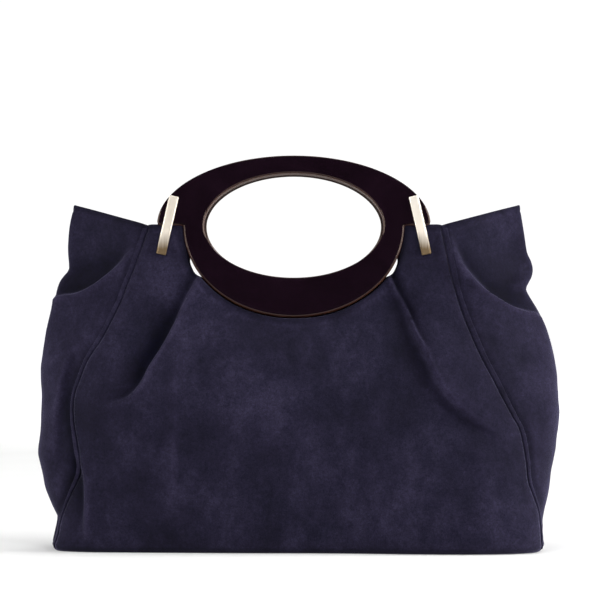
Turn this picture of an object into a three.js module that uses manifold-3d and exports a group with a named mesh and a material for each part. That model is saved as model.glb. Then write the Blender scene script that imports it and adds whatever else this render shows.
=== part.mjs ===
// A wide suede bag with two rigid oval ring handles, as an assembly of separate pieces.
// Millimetres, +Z up, +X to the right as seen from the front, and the front faces along -Y.
// The origin is the middle of the base, on the surface that the bag stands on.
import * as THREE from "three";
import { mergeVertices } from "three/addons/utils/BufferGeometryUtils.js";
import Module from "manifold-3d";

const wasm = await Module();
wasm.setup();

// ---------------------------------------------------------------- driving dimensions

const GAP = 0.4; // air between neighbouring pieces
const SUEDE = 1.8; // suede with its backing
const LINING = 1.0;
const LINING_SET_BACK = 6; // from the outer face of the suede to the lining, low in the bag
const LINING_SET_BACK_TOP = 2.8; // the same, near the mouth
const LINING_STEP = { low: 165, high: 195 }; // heights between which one becomes the other

const BASE_FILLET = 9; // radius where the walls curl under to the base
const WING_HALF_DEPTH = 7; // half the thickness of the fold at each end of the mouth
const PINCH = { start: 0.62, end: 1.08 }; // shares of the half-width between which the mouth narrows

// Height, half-width, half-depth, squareness of the plan, and pinch of the ends (0 open, 1 folded flat).
const STATIONS = [
  [0, 178, 57, 6, 0],
  [40, 183, 62, 4.5, 0],
  [80, 189, 64, 3.4, 0],
  [115, 191, 61, 3, 0.05],
  [145, 189, 52, 3, 0.25],
  [171, 185, 40.5, 3.4, 0.5],
  [190, 178, 36.5, 4.2, 0.7],
  [215, 171, 31.7, 6, 0.95],
  [238.5, 167, 27.1, 8, 1],
  [256, 165, 24, 8, 1],
];

// Height and half-width of the seams between the front or back panel and the gussets.
const SEAM = [
  [0, 166],
  [28, 174.5],
  [56, 170],
  [88, 166],
  [115, 157],
  [137, 145.5],
  [171, 128],
  [189, 121],
  [215, 113],
  [238.5, 107],
  [256, 103],
];

const MOUTH_Z = 238.5; // top of the tabs that carry the handles
const WING_Z = 254.6; // top of the folded ends of the mouth
const PANEL_TOP = 213.4; // where the panels bend, just below the tabs

// Handle ring, in its own plane: x across, w up from the underside of its ears.
const RING = {
  y: 25, // from the middle of the bag, at the top of the tabs
  lean: THREE.MathUtils.degToRad(11), // the tops lean together
  thickness: 8,
  bevel: 1.2,
  crownHalfWidth: 100.7,
  crownHeight: 52.8,
  bowlHalfWidth: 81.2,
  bowlDepth: 68.6,
  holeHalfWidth: 66,
  holeHalfHeight: 39.4,
};
const NECK_GAP = 2.6; // round the bowl, in the panels' neckline

const TAB = { thickness: 4, foot: -23.4, sideGap: 0.9 };

// Metal bars that clamp a ring's ear to the tab below it, and their screws.
const BAR = {
  width: 7.2,
  length: 44.5,
  thickness: 1.6,
  bow: 0.5,
  stepEnd: 0.42, // share of the length by which a bar has risen from the tab to the ear
  footX: 97.5,
  topX: 88.1,
  footW: -22.1,
  topW: 21.4,
};
const SCREW = { radius: 1.2, headRadius: 2.2, headHeight: 1.1, fromEnd: 6, clearance: 0.3, bite: 0.6 };

const FACING = { height: 20, thickness: 1.1 };
const WELT = { start: 0.8, width: 3.2, proud: 1.5 };
const SNAP = { z: 158, radius: 9, plate: 1.6, stud: 3, depth: 2 };
const ZIP = {
  z: 100,
  y: 56.2,
  length: 150,
  tapeHeight: 6.5,
  tape: 0.9,
  chainLength: 146,
  chainHeight: 4.4,
  chain: 1.5,
  window: { width: 155, height: 14.4 },
};
const SLIDER = { width: 9, height: 8, depth: 3.6, start: -66, bridge: 3, wire: 0.6 };
const PULL = { length: 22, halfWidth: 3.25, thickness: 1.2, eye: 1.75, eyeX: 2.5, lift: 1.2 };
const POCKET = { halfWidth: 84, foot: 30, top: 110, setBack: 3.2, cloth: 0.8 };

// ---------------------------------------------------------------- materials

const suede = new THREE.MeshStandardMaterial({ color: 0x2a2838, roughness: 0.95 });
const leather = new THREE.MeshStandardMaterial({ color: 0x211d2b, roughness: 0.7 });
const cloth = new THREE.MeshStandardMaterial({ color: 0x6b5a4c, roughness: 0.9 });
const board = new THREE.MeshStandardMaterial({ color: 0x8a7a66, roughness: 1 });
const resin = new THREE.MeshStandardMaterial({ color: 0x1b0d16, roughness: 0.08 });
const gold = new THREE.MeshStandardMaterial({ color: 0xcdb48c, roughness: 0.35, metalness: 1 });
const steel = new THREE.MeshStandardMaterial({ color: 0xb8b2a6, roughness: 0.3, metalness: 1 });

// ---------------------------------------------------------------- small tools

const bag = new THREE.Group();

function add(name, geometry, material, parent = bag) {
  const mesh = new THREE.Mesh(geometry, material);
  mesh.name = name;
  parent.add(mesh);
  return mesh;
}

// Smooth reading of one column of a table of stations, by cubic Hermite pieces.
function read(table, z, column) {
  const last = table.length - 1;
  const at = THREE.MathUtils.clamp(z, table[0][0], table[last][0]);
  let i = 0;
  while (i < last - 1 && at > table[i + 1][0]) i++;
  const station = (k) => table[THREE.MathUtils.clamp(k, 0, last)];
  const [from, to] = [station(i), station(i + 1)];
  const span = to[0] - from[0];
  const slope = (a, b) => ((b[column] - a[column]) / (b[0] - a[0])) * span;
  const startSlope = slope(station(i - 1), to);
  const endSlope = slope(from, station(i + 2));
  const t = (at - from[0]) / span;
  const [t2, t3] = [t * t, t * t * t];
  return (
    (2 * t3 - 3 * t2 + 1) * from[column] +
    (t3 - 2 * t2 + t) * startSlope +
    (3 * t2 - 2 * t3) * to[column] +
    (t3 - t2) * endSlope
  );
}

// A three.js geometry as a manifold-3d solid, and back.
function solid(geometry) {
  const bare = geometry.clone();
  bare.deleteAttribute("normal");
  bare.deleteAttribute("uv");
  const merged = mergeVertices(bare, 1e-4);
  return new wasm.Manifold(
    new wasm.Mesh({
      numProp: 3,
      vertProperties: merged.attributes.position.array,
      triVerts: new Uint32Array(merged.index.array),
    }),
  );
}

function fromSolid(manifold) {
  const { numProp, numVert, vertProperties, triVerts } = manifold.getMesh();
  const points = new Float32Array(numVert * 3);
  for (let i = 0; i < numVert; i++) {
    points.set(vertProperties.subarray(i * numProp, i * numProp + 3), i * 3);
  }
  const geometry = new THREE.BufferGeometry();
  geometry.setAttribute("position", new THREE.BufferAttribute(points, 3));
  geometry.setIndex(new THREE.BufferAttribute(triVerts, 1));
  return geometry;
}

const subtract = (geometry, ...tools) =>
  fromSolid(tools.reduce((left, tool) => left.subtract(solid(tool)), solid(geometry)));

// Half a turn about Z makes the back piece from the front one, and the left from the right.
const turned = (geometry) => geometry.clone().rotateZ(Math.PI);

// ---------------------------------------------------------------- the body's surface

// Quarter of the plan at height z, from the front middle to the side fold, with arc lengths.
function quarter(z) {
  const curl = Math.max(0, BASE_FILLET - z);
  const inset = BASE_FILLET - Math.sqrt(BASE_FILLET ** 2 - curl ** 2);
  const halfWidth = read(STATIONS, z, 1) - inset;
  const halfDepth = read(STATIONS, z, 2) - inset;
  const squareness = read(STATIONS, z, 3);
  const pinch = read(STATIONS, z, 4);
  const SAMPLES = 90;
  const points = [];
  let length = 0;
  for (let i = 0; i <= SAMPLES; i++) {
    const t = 1 - (1 - i / SAMPLES) ** 2.5; // closer together towards the fold
    const folded = THREE.MathUtils.smootherstep(t, PINCH.start, PINCH.end) * pinch;
    const depth = halfDepth + (WING_HALF_DEPTH - halfDepth) * folded;
    const x = halfWidth * t;
    const y = depth * Math.max(0, 1 - t ** squareness) ** (1 / squareness);
    const previous = points[points.length - 1];
    if (previous) length += Math.hypot(x - previous.x, y - previous.y);
    points.push({ x, y, length });
  }
  return points;
}

// The place at an arc length from the front middle. It goes on round the fold to the back.
function onPlan(points, arc) {
  const whole = points[points.length - 1].length;
  const isFront = Math.abs(arc) <= whole;
  const along = isFront ? Math.abs(arc) : 2 * whole - Math.abs(arc);
  const i = Math.max(1, points.findIndex((p) => p.length >= along - 1e-9));
  const [from, to] = [points[i - 1], points[i]];
  const t = (along - from.length) / (to.length - from.length);
  const x = from.x + (to.x - from.x) * t;
  const y = from.y + (to.y - from.y) * t;
  return [Math.sign(arc) * x, isFront ? -y : y];
}

// The arc length from the front middle at which the plan reaches half-width x.
function arcAtX(points, x) {
  const i = Math.max(1, points.findIndex((p) => p.x >= x));
  const [from, to] = [points[i - 1], points[i]];
  return from.length + ((x - from.x) / (to.x - from.x)) * (to.length - from.length);
}

const seamArc = (points, z) => arcAtX(points, read(SEAM, z, 1));

// Ways across a piece, from f = 0 to 1, as signed arc lengths from the front middle.
const panelWay = (f, points, z) => (2 * f - 1) * (seamArc(points, z) - GAP / 2);

const gussetWay = (margin) => (f, points, z) => {
  const whole = points[points.length - 1].length;
  const start = seamArc(points, z) + margin;
  return start + f * 2 * (whole - start);
};

const weltWay = (side) => (f, points, z) => {
  const across = side > 0 ? f : 1 - f;
  return side * (seamArc(points, z) + WELT.start + WELT.width * across);
};

const patchWay = (halfWidth) => (f, points) => (2 * f - 1) * arcAtX(points, halfWidth);

// A point of the surface and its outward normal. place gives the point at a step along and up.
function pointAndNormal(place) {
  const STEP = 0.05;
  const along = place(STEP, 0).sub(place(-STEP, 0));
  const up = place(0, STEP).sub(place(0, -STEP));
  return [place(0, 0), along.cross(up).normalize()];
}

// A closed sheet that follows the body's surface, between two depths below it. Each row is a
// height, or a function that gives the height at f.
function sheet({ way, columns, rows, outer, inner }) {
  const width = columns + 1;
  const count = rows.length * width;
  const outside = [];
  const inside = [];
  for (const row of rows) {
    for (let c = 0; c <= columns; c++) {
      const f = c / columns;
      const height = typeof row === "function" ? row(f) : row;
      const [point, normal] = pointAndNormal((along, up) => {
        const z = Math.max(0, height + up);
        const points = quarter(z);
        return new THREE.Vector3(...onPlan(points, way(f, points, z) + along), z);
      });
      outside.push(...point.clone().addScaledVector(normal, -outer(height)));
      inside.push(...point.clone().addScaledVector(normal, -inner(height)));
    }
  }
  const index = [];
  for (let r = 0; r < rows.length - 1; r++) {
    for (let c = 0; c < columns; c++) {
      const [p, q] = [r * width + c, (r + 1) * width + c];
      index.push(p, p + 1, q + 1, p, q + 1, q);
      const [u, v] = [p + count, q + count];
      index.push(u, v + 1, u + 1, u, v, v + 1);
    }
  }
  const lastRow = (rows.length - 1) * width;
  const rim = [];
  for (let c = 0; c < columns; c++) rim.push(c);
  for (let r = 0; r < rows.length - 1; r++) rim.push(r * width + columns);
  for (let c = columns; c > 0; c--) rim.push(lastRow + c);
  for (let r = rows.length - 1; r > 0; r--) rim.push(r * width);
  rim.forEach((p, i) => {
    const q = rim[(i + 1) % rim.length];
    index.push(p, p + count, q + count, p, q + count, q);
  });
  const closed = new THREE.BufferGeometry();
  closed.setAttribute("position", new THREE.Float32BufferAttribute([...outside, ...inside], 3));
  closed.setIndex(index);
  return closed;
}

const FILLET_ROWS = [0, 1.2, 4, BASE_FILLET];
const LOW_ROWS = [...FILLET_ROWS, 30, 56, 82, 108, 130, 150, 171];
const PANEL_ROWS = [...LOW_ROWS, 192, PANEL_TOP];
const GUSSET_ROWS = [...LOW_ROWS, 190, 207];
const PANEL_COLUMNS = 16;
const GUSSET_COLUMNS = 12;
// The lining is plainer: its flats lie inside the shell's curve.
const LINING_LOW_ROWS = [...FILLET_ROWS, 56, 108, 150, 171];
const LINING_COLUMNS = PANEL_COLUMNS / 2;

// Top edge of the gussets: level with the tabs at the seams, rising to the fold.
function wingTop(f) {
  const STEEPER = 1.08; // it reaches its full height just before the fold
  const fromSeam = 1 - Math.abs(2 * f - 1);
  return MOUTH_Z + (WING_Z - MOUTH_Z) * Math.min(1, fromSeam * STEEPER);
}

// ---------------------------------------------------------------- the handles' planes

// A group whose x runs across, whose z runs up the front ring's plane, and whose -y faces out.
function handlePlane() {
  const plane = new THREE.Group();
  plane.position.set(0, -RING.y, MOUTH_Z);
  plane.rotation.x = -RING.lean;
  plane.updateMatrix();
  return plane;
}

// A flat shape in that plane, thickened evenly to both sides of it.
function plate(shape, thickness, bevel = 0) {
  const geometry = new THREE.ExtrudeGeometry(shape, {
    depth: thickness - 2 * bevel,
    curveSegments: 14,
    bevelEnabled: bevel > 0,
    bevelThickness: bevel,
    bevelSize: bevel,
    bevelOffset: -bevel,
    bevelSegments: 2,
  });
  geometry.translate(0, 0, bevel - thickness / 2);
  return geometry.rotateX(Math.PI / 2);
}

// The cut that leaves room for a ring's bowl in a panel.
function neckTool(extra) {
  const TOP = 40;
  const THROUGH = 70;
  const halfWidth = RING.bowlHalfWidth + NECK_GAP + extra;
  const shape = new THREE.Shape();
  shape.moveTo(-halfWidth, TOP);
  shape.lineTo(-halfWidth, 0);
  shape.absellipse(0, 0, halfWidth, RING.bowlDepth + NECK_GAP + extra, Math.PI, 2 * Math.PI, false);
  shape.lineTo(halfWidth, TOP);
  return plate(shape, THROUGH).applyMatrix4(handlePlane().matrix);
}

// ---------------------------------------------------------------- outer shell

function buildShell() {
  const [outer, inner] = [() => 0, () => SUEDE];
  const panel = sheet({ way: panelWay, columns: PANEL_COLUMNS, rows: PANEL_ROWS, outer, inner });
  const front = subtract(panel, neckTool(0));
  add("front_panel", front, suede);
  add("back_panel", turned(front), suede);
  const gusset = sheet({
    way: gussetWay(GAP / 2),
    columns: GUSSET_COLUMNS,
    rows: [...GUSSET_ROWS, wingTop],
    outer,
    inner,
  });
  add("right_gusset", gusset, suede);
  add("left_gusset", turned(gusset), suede);
}

// Raised welts along the seams, lying on the gussets' edges.
function buildWelts() {
  const WELT_TOP = 236;
  const rows = [4, BASE_FILLET, 30, 56, 82, 108, 130, 150, 171, 190, 207, WELT_TOP];
  const welt = (side) =>
    sheet({ way: weltWay(side), columns: 1, rows, outer: () => -WELT.proud, inner: () => -GAP });
  const [right, left] = [welt(1), welt(-1)];
  add("front_right_welt", right, suede);
  add("front_left_welt", left, suede);
  add("back_left_welt", turned(right), suede);
  add("back_right_welt", turned(left), suede);
}

// Outline of the base, set back from the nominal outline.
function baseShape(setBack) {
  const [, halfWidth, halfDepth, squareness] = STATIONS[0];
  const STEPS = 56;
  const shape = new THREE.Shape();
  for (let i = 0; i < STEPS; i++) {
    const angle = (2 * Math.PI * i) / STEPS;
    const [c, s] = [Math.cos(angle), Math.sin(angle)];
    const reach = (Math.abs(c) ** squareness + Math.abs(s) ** squareness) ** (-1 / squareness);
    const [x, y] = [(halfWidth - setBack) * reach * c, (halfDepth - setBack) * reach * s];
    if (i === 0) shape.moveTo(x, y);
    else shape.lineTo(x, y);
  }
  return shape;
}

// A flat shape extruded along +z, with square edges.
const extrude = (shape, depth) =>
  new THREE.ExtrudeGeometry(shape, { depth, curveSegments: 8, bevelEnabled: false });

const slab = (setBack, z, thickness) => extrude(baseShape(setBack), thickness).translate(0, 0, z);

function buildBase() {
  const boardFoot = SUEDE + GAP;
  const boardTop = LINING_SET_BACK - GAP;
  const [SHELL_CLEAR, LINING_CLEAR] = [2, 7]; // from the fillets' inner edge to the plates
  const shellEdge = BASE_FILLET + SHELL_CLEAR;
  const liningEdge = BASE_FILLET + LINING_CLEAR;
  add("base_panel", slab(shellEdge, 0, SUEDE), suede);
  add("base_board", slab(shellEdge, boardFoot, boardTop - boardFoot), board);
  add("lining_base", slab(liningEdge, LINING_SET_BACK, LINING), cloth);
}

// ---------------------------------------------------------------- lining, pocket and closure

function liningDepth(z) {
  const share = THREE.MathUtils.smoothstep(z, LINING_STEP.low, LINING_STEP.high);
  return LINING_SET_BACK + (LINING_SET_BACK_TOP - LINING_SET_BACK) * share;
}

function buildLining() {
  const [outer, inner] = [liningDepth, (z) => liningDepth(z) + LINING];
  const CUT_BACK = 1.2; // the lining's neckline lies behind the panel's
  const wallRows = [...LINING_LOW_ROWS, 192, PANEL_TOP];
  const wall = sheet({ way: panelWay, columns: LINING_COLUMNS, rows: wallRows, outer, inner });
  const front = subtract(wall, neckTool(CUT_BACK));
  const THROUGH = 20;
  const { width, height } = ZIP.window;
  const window = new THREE.BoxGeometry(width, THROUGH, height).translate(0, ZIP.y, ZIP.z);
  add("lining_front", front, cloth);
  add("lining_back", subtract(turned(front), window), cloth);
  const MARGIN = 1;
  const side = sheet({
    way: gussetWay(MARGIN),
    columns: GUSSET_COLUMNS,
    rows: [...LINING_LOW_ROWS, 190, 207, (f) => wingTop(f) - FACING.height],
    outer,
    inner,
  });
  add("lining_right", side, cloth);
  add("lining_left", turned(side), cloth);
  const EDGE = 0.6;
  const facing = sheet({
    way: gussetWay(MARGIN),
    columns: GUSSET_COLUMNS,
    rows: [FACING.height - GAP, FACING.height / 2, EDGE].map((down) => (f) => wingTop(f) - down),
    outer: () => LINING_SET_BACK_TOP,
    inner: () => LINING_SET_BACK_TOP + FACING.thickness,
  });
  add("right_mouth_facing", facing, leather);
  add("left_mouth_facing", turned(facing), leather);
}

// A disc on each lining, turned to lie flat on it, with a stud that fits the other's socket.
function buildSnap() {
  const STEP = 4;
  const rise = (read(STATIONS, SNAP.z - STEP, 2) - read(STATIONS, SNAP.z + STEP, 2)) / (2 * STEP);
  const tilt = Math.atan(rise);
  const seat = LINING_SET_BACK + LINING + GAP;
  const place = (outline) =>
    new THREE.LatheGeometry(outline.map(([r, h]) => new THREE.Vector2(r, h)), 20)
      .rotateX(-tilt)
      .translate(0, -read(STATIONS, SNAP.z, 2) + seat * Math.cos(tilt), SNAP.z - seat * Math.sin(tilt));
  const { radius, plate: thick, stud, depth } = SNAP;
  const top = thick + depth;
  const bore = stud + GAP;
  const plateOutline = [[0, 0], [radius, 0]];
  const studOutline = [...plateOutline, [radius, thick], [stud, thick], [stud, top], [0, top]];
  const socketOutline = [...plateOutline, [radius, top], [bore, top], [bore, thick], [0, thick]];
  add("snap_stud", place(studOutline), steel);
  add("snap_socket", turned(place(socketOutline)), steel);
}

// Zip of the inner pocket: two tapes in the lining's window, the chain, the slider and its pull.
function buildZip() {
  const tapeInner = ZIP.y - ZIP.tape;
  const tape = (side) =>
    new THREE.BoxGeometry(ZIP.length, ZIP.tape, ZIP.tapeHeight - GAP / 2).translate(
      0,
      ZIP.y - ZIP.tape / 2,
      ZIP.z + side * (ZIP.tapeHeight / 2 + GAP / 4),
    );
  add("zip_tape_upper", tape(1), cloth);
  add("zip_tape_lower", tape(-1), cloth);
  const chainY = tapeInner - GAP - ZIP.chain / 2;
  const chain = new THREE.BoxGeometry(ZIP.chainLength, ZIP.chain, ZIP.chainHeight);
  add("zip_chain", chain.translate(0, chainY, ZIP.z), gold);

  const channel = new THREE.BoxGeometry(SLIDER.width + 2, ZIP.chain + 2 * GAP, ZIP.chainHeight + 2 * GAP);
  const body = new THREE.BoxGeometry(SLIDER.width, SLIDER.depth, SLIDER.height);
  const bodyY = tapeInner - GAP - SLIDER.depth / 2;
  body.translate(0, bodyY, 0);
  channel.translate(0, bodyY + SLIDER.depth / 2 - ZIP.chain / 2, 0);
  const face = bodyY - SLIDER.depth / 2;
  const bridge = new THREE.TorusGeometry(SLIDER.bridge, SLIDER.wire, 8, 16).translate(0, face, 0);
  const slider = fromSolid(solid(body).add(solid(bridge)).subtract(solid(channel)));
  add("zip_slider", slider.translate(SLIDER.start, 0, ZIP.z), gold);
  add("zip_pull", pullGeometry().translate(SLIDER.start, face - PULL.lift, ZIP.z), gold);
}

// A flat tab along +x. The rim of its eye lies on the origin, under the slider's bridge.
function pullGeometry() {
  const { length, halfWidth, thickness, eye, eyeX } = PULL;
  const shape = new THREE.Shape();
  shape.absarc(eyeX, 0, halfWidth, Math.PI / 2, (3 * Math.PI) / 2, false);
  shape.absarc(length - halfWidth, 0, halfWidth, -Math.PI / 2, Math.PI / 2, false);
  const hole = new THREE.Path();
  hole.absarc(eyeX, 0, eye, 0, 2 * Math.PI, true);
  shape.holes.push(hole);
  return extrude(shape, thickness).rotateX(Math.PI / 2).translate(0, thickness / 2, 0);
}

// The inner pocket's back cloth, which hangs between the lining and the back panel.
function buildPocket() {
  const rows = [POCKET.foot, 56, 82, POCKET.top];
  const { setBack, cloth: thick } = POCKET;
  const outer = () => setBack;
  const inner = () => setBack + thick;
  const patch = sheet({ way: patchWay(POCKET.halfWidth), columns: 8, rows, outer, inner });
  add("pocket_back", turned(patch), cloth);
}

// ---------------------------------------------------------------- handles

function ringShape() {
  const shape = new THREE.Shape();
  shape.moveTo(RING.bowlHalfWidth, 0);
  shape.lineTo(RING.crownHalfWidth, 0);
  shape.absellipse(0, 0, RING.crownHalfWidth, RING.crownHeight, 0, Math.PI, false);
  shape.lineTo(-RING.bowlHalfWidth, 0);
  shape.absellipse(0, 0, RING.bowlHalfWidth, RING.bowlDepth, Math.PI, 2 * Math.PI, false);
  const hole = new THREE.Path();
  const [holeX, holeW] = [RING.holeHalfWidth, RING.holeHalfHeight];
  hole.absellipse(0, 0, holeX, holeW, 0, 2 * Math.PI, true);
  shape.holes.push(hole);
  return shape;
}

// The folded, doubled piece of the panel below one ear, between the neckline and the seam.
function tabShape(side) {
  const [halfWidth, depth] = [RING.bowlHalfWidth + NECK_GAP, RING.bowlDepth + NECK_GAP];
  const footAngle = Math.asin(-TAB.foot / depth);
  const footZ = MOUTH_Z + TAB.foot * Math.cos(RING.lean);
  const STEPS = 6;
  const outline = [
    [read(SEAM, footZ, 1) - TAB.sideGap, TAB.foot],
    [read(SEAM, MOUTH_Z, 1) - TAB.sideGap, -GAP],
  ];
  for (let i = 0; i <= STEPS; i++) {
    const angle = (footAngle * i) / STEPS;
    outline.push([halfWidth * Math.cos(angle), Math.min(-GAP, -depth * Math.sin(angle))]);
  }
  return new THREE.Shape(outline.map(([x, w]) => new THREE.Vector2(side * x, w)));
}

const BAR_ANGLE = Math.atan2(BAR.footX - BAR.topX, BAR.topW - BAR.footW);
const SCREW_PLACES = [SCREW.fromEnd, BAR.length - SCREW.fromEnd];

// From a bar's own frame (x across it, z up it from its foot) to the ring's plane.
const toBar = (geometry, side) =>
  geometry.rotateY(-side * BAR_ANGLE).translate(side * BAR.footX, 0, BAR.footW);

// How far a bar's inner face stands off the plane: it clears the tab low down and the ear above.
function barInner(s) {
  const t = s / BAR.length;
  const onTab = TAB.thickness / 2 + GAP;
  const onEar = RING.thickness / 2 + GAP;
  const step = THREE.MathUtils.smoothstep(t, 0, BAR.stepEnd);
  return onTab + (onEar - onTab) * step + BAR.bow * Math.sin(Math.PI * t);
}

// A bowed strip on the outer side of the plane.
function barGeometry() {
  const STEPS = 10;
  const stations = Array.from({ length: STEPS + 1 }, (_, i) => (BAR.length * i) / STEPS);
  const under = stations.map((s) => new THREE.Vector2(s, barInner(s)));
  const over = stations.map((s) => new THREE.Vector2(s, barInner(s) + BAR.thickness)).reverse();
  const shape = new THREE.Shape([...under, ...over]);
  const upright = new THREE.Matrix4().makeBasis(
    new THREE.Vector3(0, 0, 1),
    new THREE.Vector3(0, -1, 0),
    new THREE.Vector3(1, 0, 0),
  );
  return extrude(shape, BAR.width).translate(0, 0, -BAR.width / 2).applyMatrix4(upright);
}

const rod = (radius, from, to, s) =>
  new THREE.CylinderGeometry(radius, radius, to - from, 12).translate(0, (from + to) / 2, s);

// A screw along y at a distance s up the bar: tip in the outer bar, head on the inner one.
function screwGeometry(s) {
  const tip = -barInner(s) - SCREW.bite;
  const seat = barInner(s) + BAR.thickness + GAP;
  const top = seat + SCREW.headHeight;
  const outline = [
    [0, tip],
    [SCREW.radius, tip],
    [SCREW.radius, seat],
    [SCREW.headRadius, seat],
    [SCREW.headRadius, seat + SCREW.headHeight / 2],
    [SCREW.headRadius / 2, top],
    [0, top],
  ];
  return new THREE.LatheGeometry(outline.map(([r, y]) => new THREE.Vector2(r, y)), 12).translate(0, 0, s);
}

// One handle on its plane: ring, tabs, outer and inner bars, and screws.
function buildHandle(prefix, plane, sideNames) {
  const holeRadius = SCREW.radius + SCREW.clearance;
  const bore = (side, s, from, to) => toBar(rod(holeRadius, from, to, s), side);
  const [low, high] = SCREW_PLACES;
  const THROUGH = 10;
  const sides = [-1, 1];
  const earHoles = sides.map((side) => bore(side, high, -THROUGH, THROUGH));
  const ring = subtract(plate(ringShape(), RING.thickness, RING.bevel), ...earHoles);
  add(`${prefix}_ring`, ring, resin, plane);
  for (const side of sides) {
    const name = `${prefix}_${sideNames[side]}`;
    const tab = subtract(plate(tabShape(side), TAB.thickness), bore(side, low, -THROUGH, THROUGH));
    add(`${name}_tab`, tab, suede, plane);
    const blind = SCREW_PLACES.map((s) => bore(side, s, -barInner(s) - SCREW.bite - GAP, 0));
    add(`${name}_bar`, subtract(toBar(barGeometry(), side), ...blind), gold, plane);
    const through = SCREW_PLACES.map((s) => bore(side, s, 0, THROUGH));
    const inner = toBar(turned(barGeometry()), side);
    add(`${name}_back_bar`, subtract(inner, ...through), steel, plane);
    add(`${name}_low_screw`, toBar(screwGeometry(low), side), steel, plane);
    add(`${name}_high_screw`, toBar(screwGeometry(high), side), steel, plane);
  }
}

function buildHandles() {
  const front = handlePlane();
  bag.add(front);
  buildHandle("front", front, { "-1": "left", 1: "right" });
  const back = handlePlane();
  const halfTurn = new THREE.Group();
  halfTurn.rotation.z = Math.PI;
  halfTurn.add(back);
  bag.add(halfTurn);
  buildHandle("back", back, { "-1": "right", 1: "left" });
}

buildShell();
buildWelts();
buildBase();
buildLining();
buildSnap();
buildZip();
buildPocket();
buildHandles();

export default bag;
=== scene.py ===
import functools
import math

import bmesh
import bpy
import numpy as np
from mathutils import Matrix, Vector
from mathutils.geometry import delaunay_2d_cdt


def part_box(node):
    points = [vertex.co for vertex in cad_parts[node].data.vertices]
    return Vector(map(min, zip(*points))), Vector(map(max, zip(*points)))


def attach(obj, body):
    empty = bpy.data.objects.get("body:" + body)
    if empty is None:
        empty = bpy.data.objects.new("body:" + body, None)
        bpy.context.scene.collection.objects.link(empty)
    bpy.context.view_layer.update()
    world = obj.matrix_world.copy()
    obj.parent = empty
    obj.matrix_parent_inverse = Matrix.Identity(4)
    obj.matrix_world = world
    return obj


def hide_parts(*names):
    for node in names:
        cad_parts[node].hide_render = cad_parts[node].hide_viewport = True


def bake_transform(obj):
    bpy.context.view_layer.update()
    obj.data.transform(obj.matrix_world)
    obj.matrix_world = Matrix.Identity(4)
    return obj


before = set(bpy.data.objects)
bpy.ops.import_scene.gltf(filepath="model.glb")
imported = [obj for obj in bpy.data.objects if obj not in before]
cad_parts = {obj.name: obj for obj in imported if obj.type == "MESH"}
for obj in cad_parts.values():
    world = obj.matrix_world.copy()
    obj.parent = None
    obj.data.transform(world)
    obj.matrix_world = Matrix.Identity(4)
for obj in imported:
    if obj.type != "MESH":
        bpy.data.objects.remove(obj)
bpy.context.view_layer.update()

# Shapes are worked out in millimetres, in the frame's axes, and made in metres.
MM = 0.001
FRONT, BACK = -1, 1
LEFT, RIGHT = -1, 1
FACES = ((FRONT, "front"), (BACK, "back"))
SIDES = ((LEFT, "left"), (RIGHT, "right"))

# ---------------------------------------------------------------- camera

CAMERA_DISTANCE = 1.9
CAMERA_HEIGHT = 0.1825
CAMERA_LENS = 152.7
CAMERA_SHIFT = (0.0103, 0.0033)

camera_data = bpy.data.cameras.new("camera")
camera_data.lens = CAMERA_LENS
camera_data.sensor_width = 36
camera_data.shift_x, camera_data.shift_y = CAMERA_SHIFT
camera_data.clip_end = 60
camera = bpy.data.objects.new("camera", camera_data)
camera.location = (0, -CAMERA_DISTANCE, CAMERA_HEIGHT)
camera.rotation_euler = (math.radians(90), 0, 0)
bpy.context.scene.collection.objects.link(camera)
bpy.context.scene.camera = camera

# ---------------------------------------------------------------- sizes

BASE_FILLET = 6.0  # where the walls curl under to the base
CURL = BASE_FILLET * math.pi / 2  # the length of that curl
WING_HALF_DEPTH = 7.0
PINCH_START, PINCH_END = 0.62, 1.08
SUEDE = 1.8
TAB = 3.9  # the folded suede that the handles hang from
TAB_FOOT = 212.0
MOUTH_Z = 238.1
WING_RISE = 16.0  # from the tabs to the folded ends of the mouth
WING_STEEPNESS, WING_CURVE = 1.06, 0.95
LINING = 1.0
HANDLE_MOVES_FROM, HANDLE_MOVES_TO = 200.0, 226.0
WING_MOVES_TO, WING_STILL_FROM = 107.0, 160.0

# Height and half-width of the bag on each side, with the dents of its drape.
HALF_WIDTH = {
    LEFT: (
        (0, 181), (4.4, 180), (14.4, 177.8), (20.8, 176.6), (24.3, 176.7), (34.4, 179.3),
        (48.6, 183.6), (63.1, 186.7), (71.4, 188), (95.9, 187.5), (124.3, 187.4), (140.3, 186.9),
        (153.6, 185.6), (166.1, 183.1), (177.4, 180.2), (187, 177.8), (192.7, 176.5), (198.3, 174.3),
        (202.7, 171), (206, 168.2), (210, 167.8), (218.3, 168.4), (225.9, 168.4), (240.3, 167),
        (256, 163.2),
    ),
    RIGHT: (
        (0, 185.6), (5.8, 185.6), (15.8, 185.4), (25.8, 185.8), (37.2, 187.4), (55.8, 190.8), (84.3, 195.3),
        (110.1, 196.7), (124.3, 196.3), (132.6, 195.5), (145.2, 193.3), (157.4, 190.1), (166.1, 187.1),
        (176.5, 182), (182.2, 178.6), (187.9, 175.2), (192.4, 173.4), (196.9, 175.2), (201.2, 177.4),
        (206.9, 178.3), (212.7, 177), (217.4, 174.8), (220.3, 173.8), (232.6, 171.9), (246, 169.7),
        (256, 167.9),
    ),
}
# Height and half-depth, squareness of the plan, and pinch of the ends.
DEPTH = ((0, 57), (40, 62), (80, 64), (115, 61), (145, 52), (171, 40.5), (190, 36.5), (215, 31.7),
         (238.5, 27.1), (256, 24))
SQUARENESS = ((0, 6), (40, 4.5), (80, 3.4), (115, 3), (145, 3), (171, 3.4), (190, 4.2), (215, 6),
              (238.5, 8), (256, 8))
PINCH = ((0, 0), (80, 0), (115, 0.05), (145, 0.25), (171, 0.5), (190, 0.7), (215, 0.95), (238.5, 1),
         (256, 1))
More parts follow.
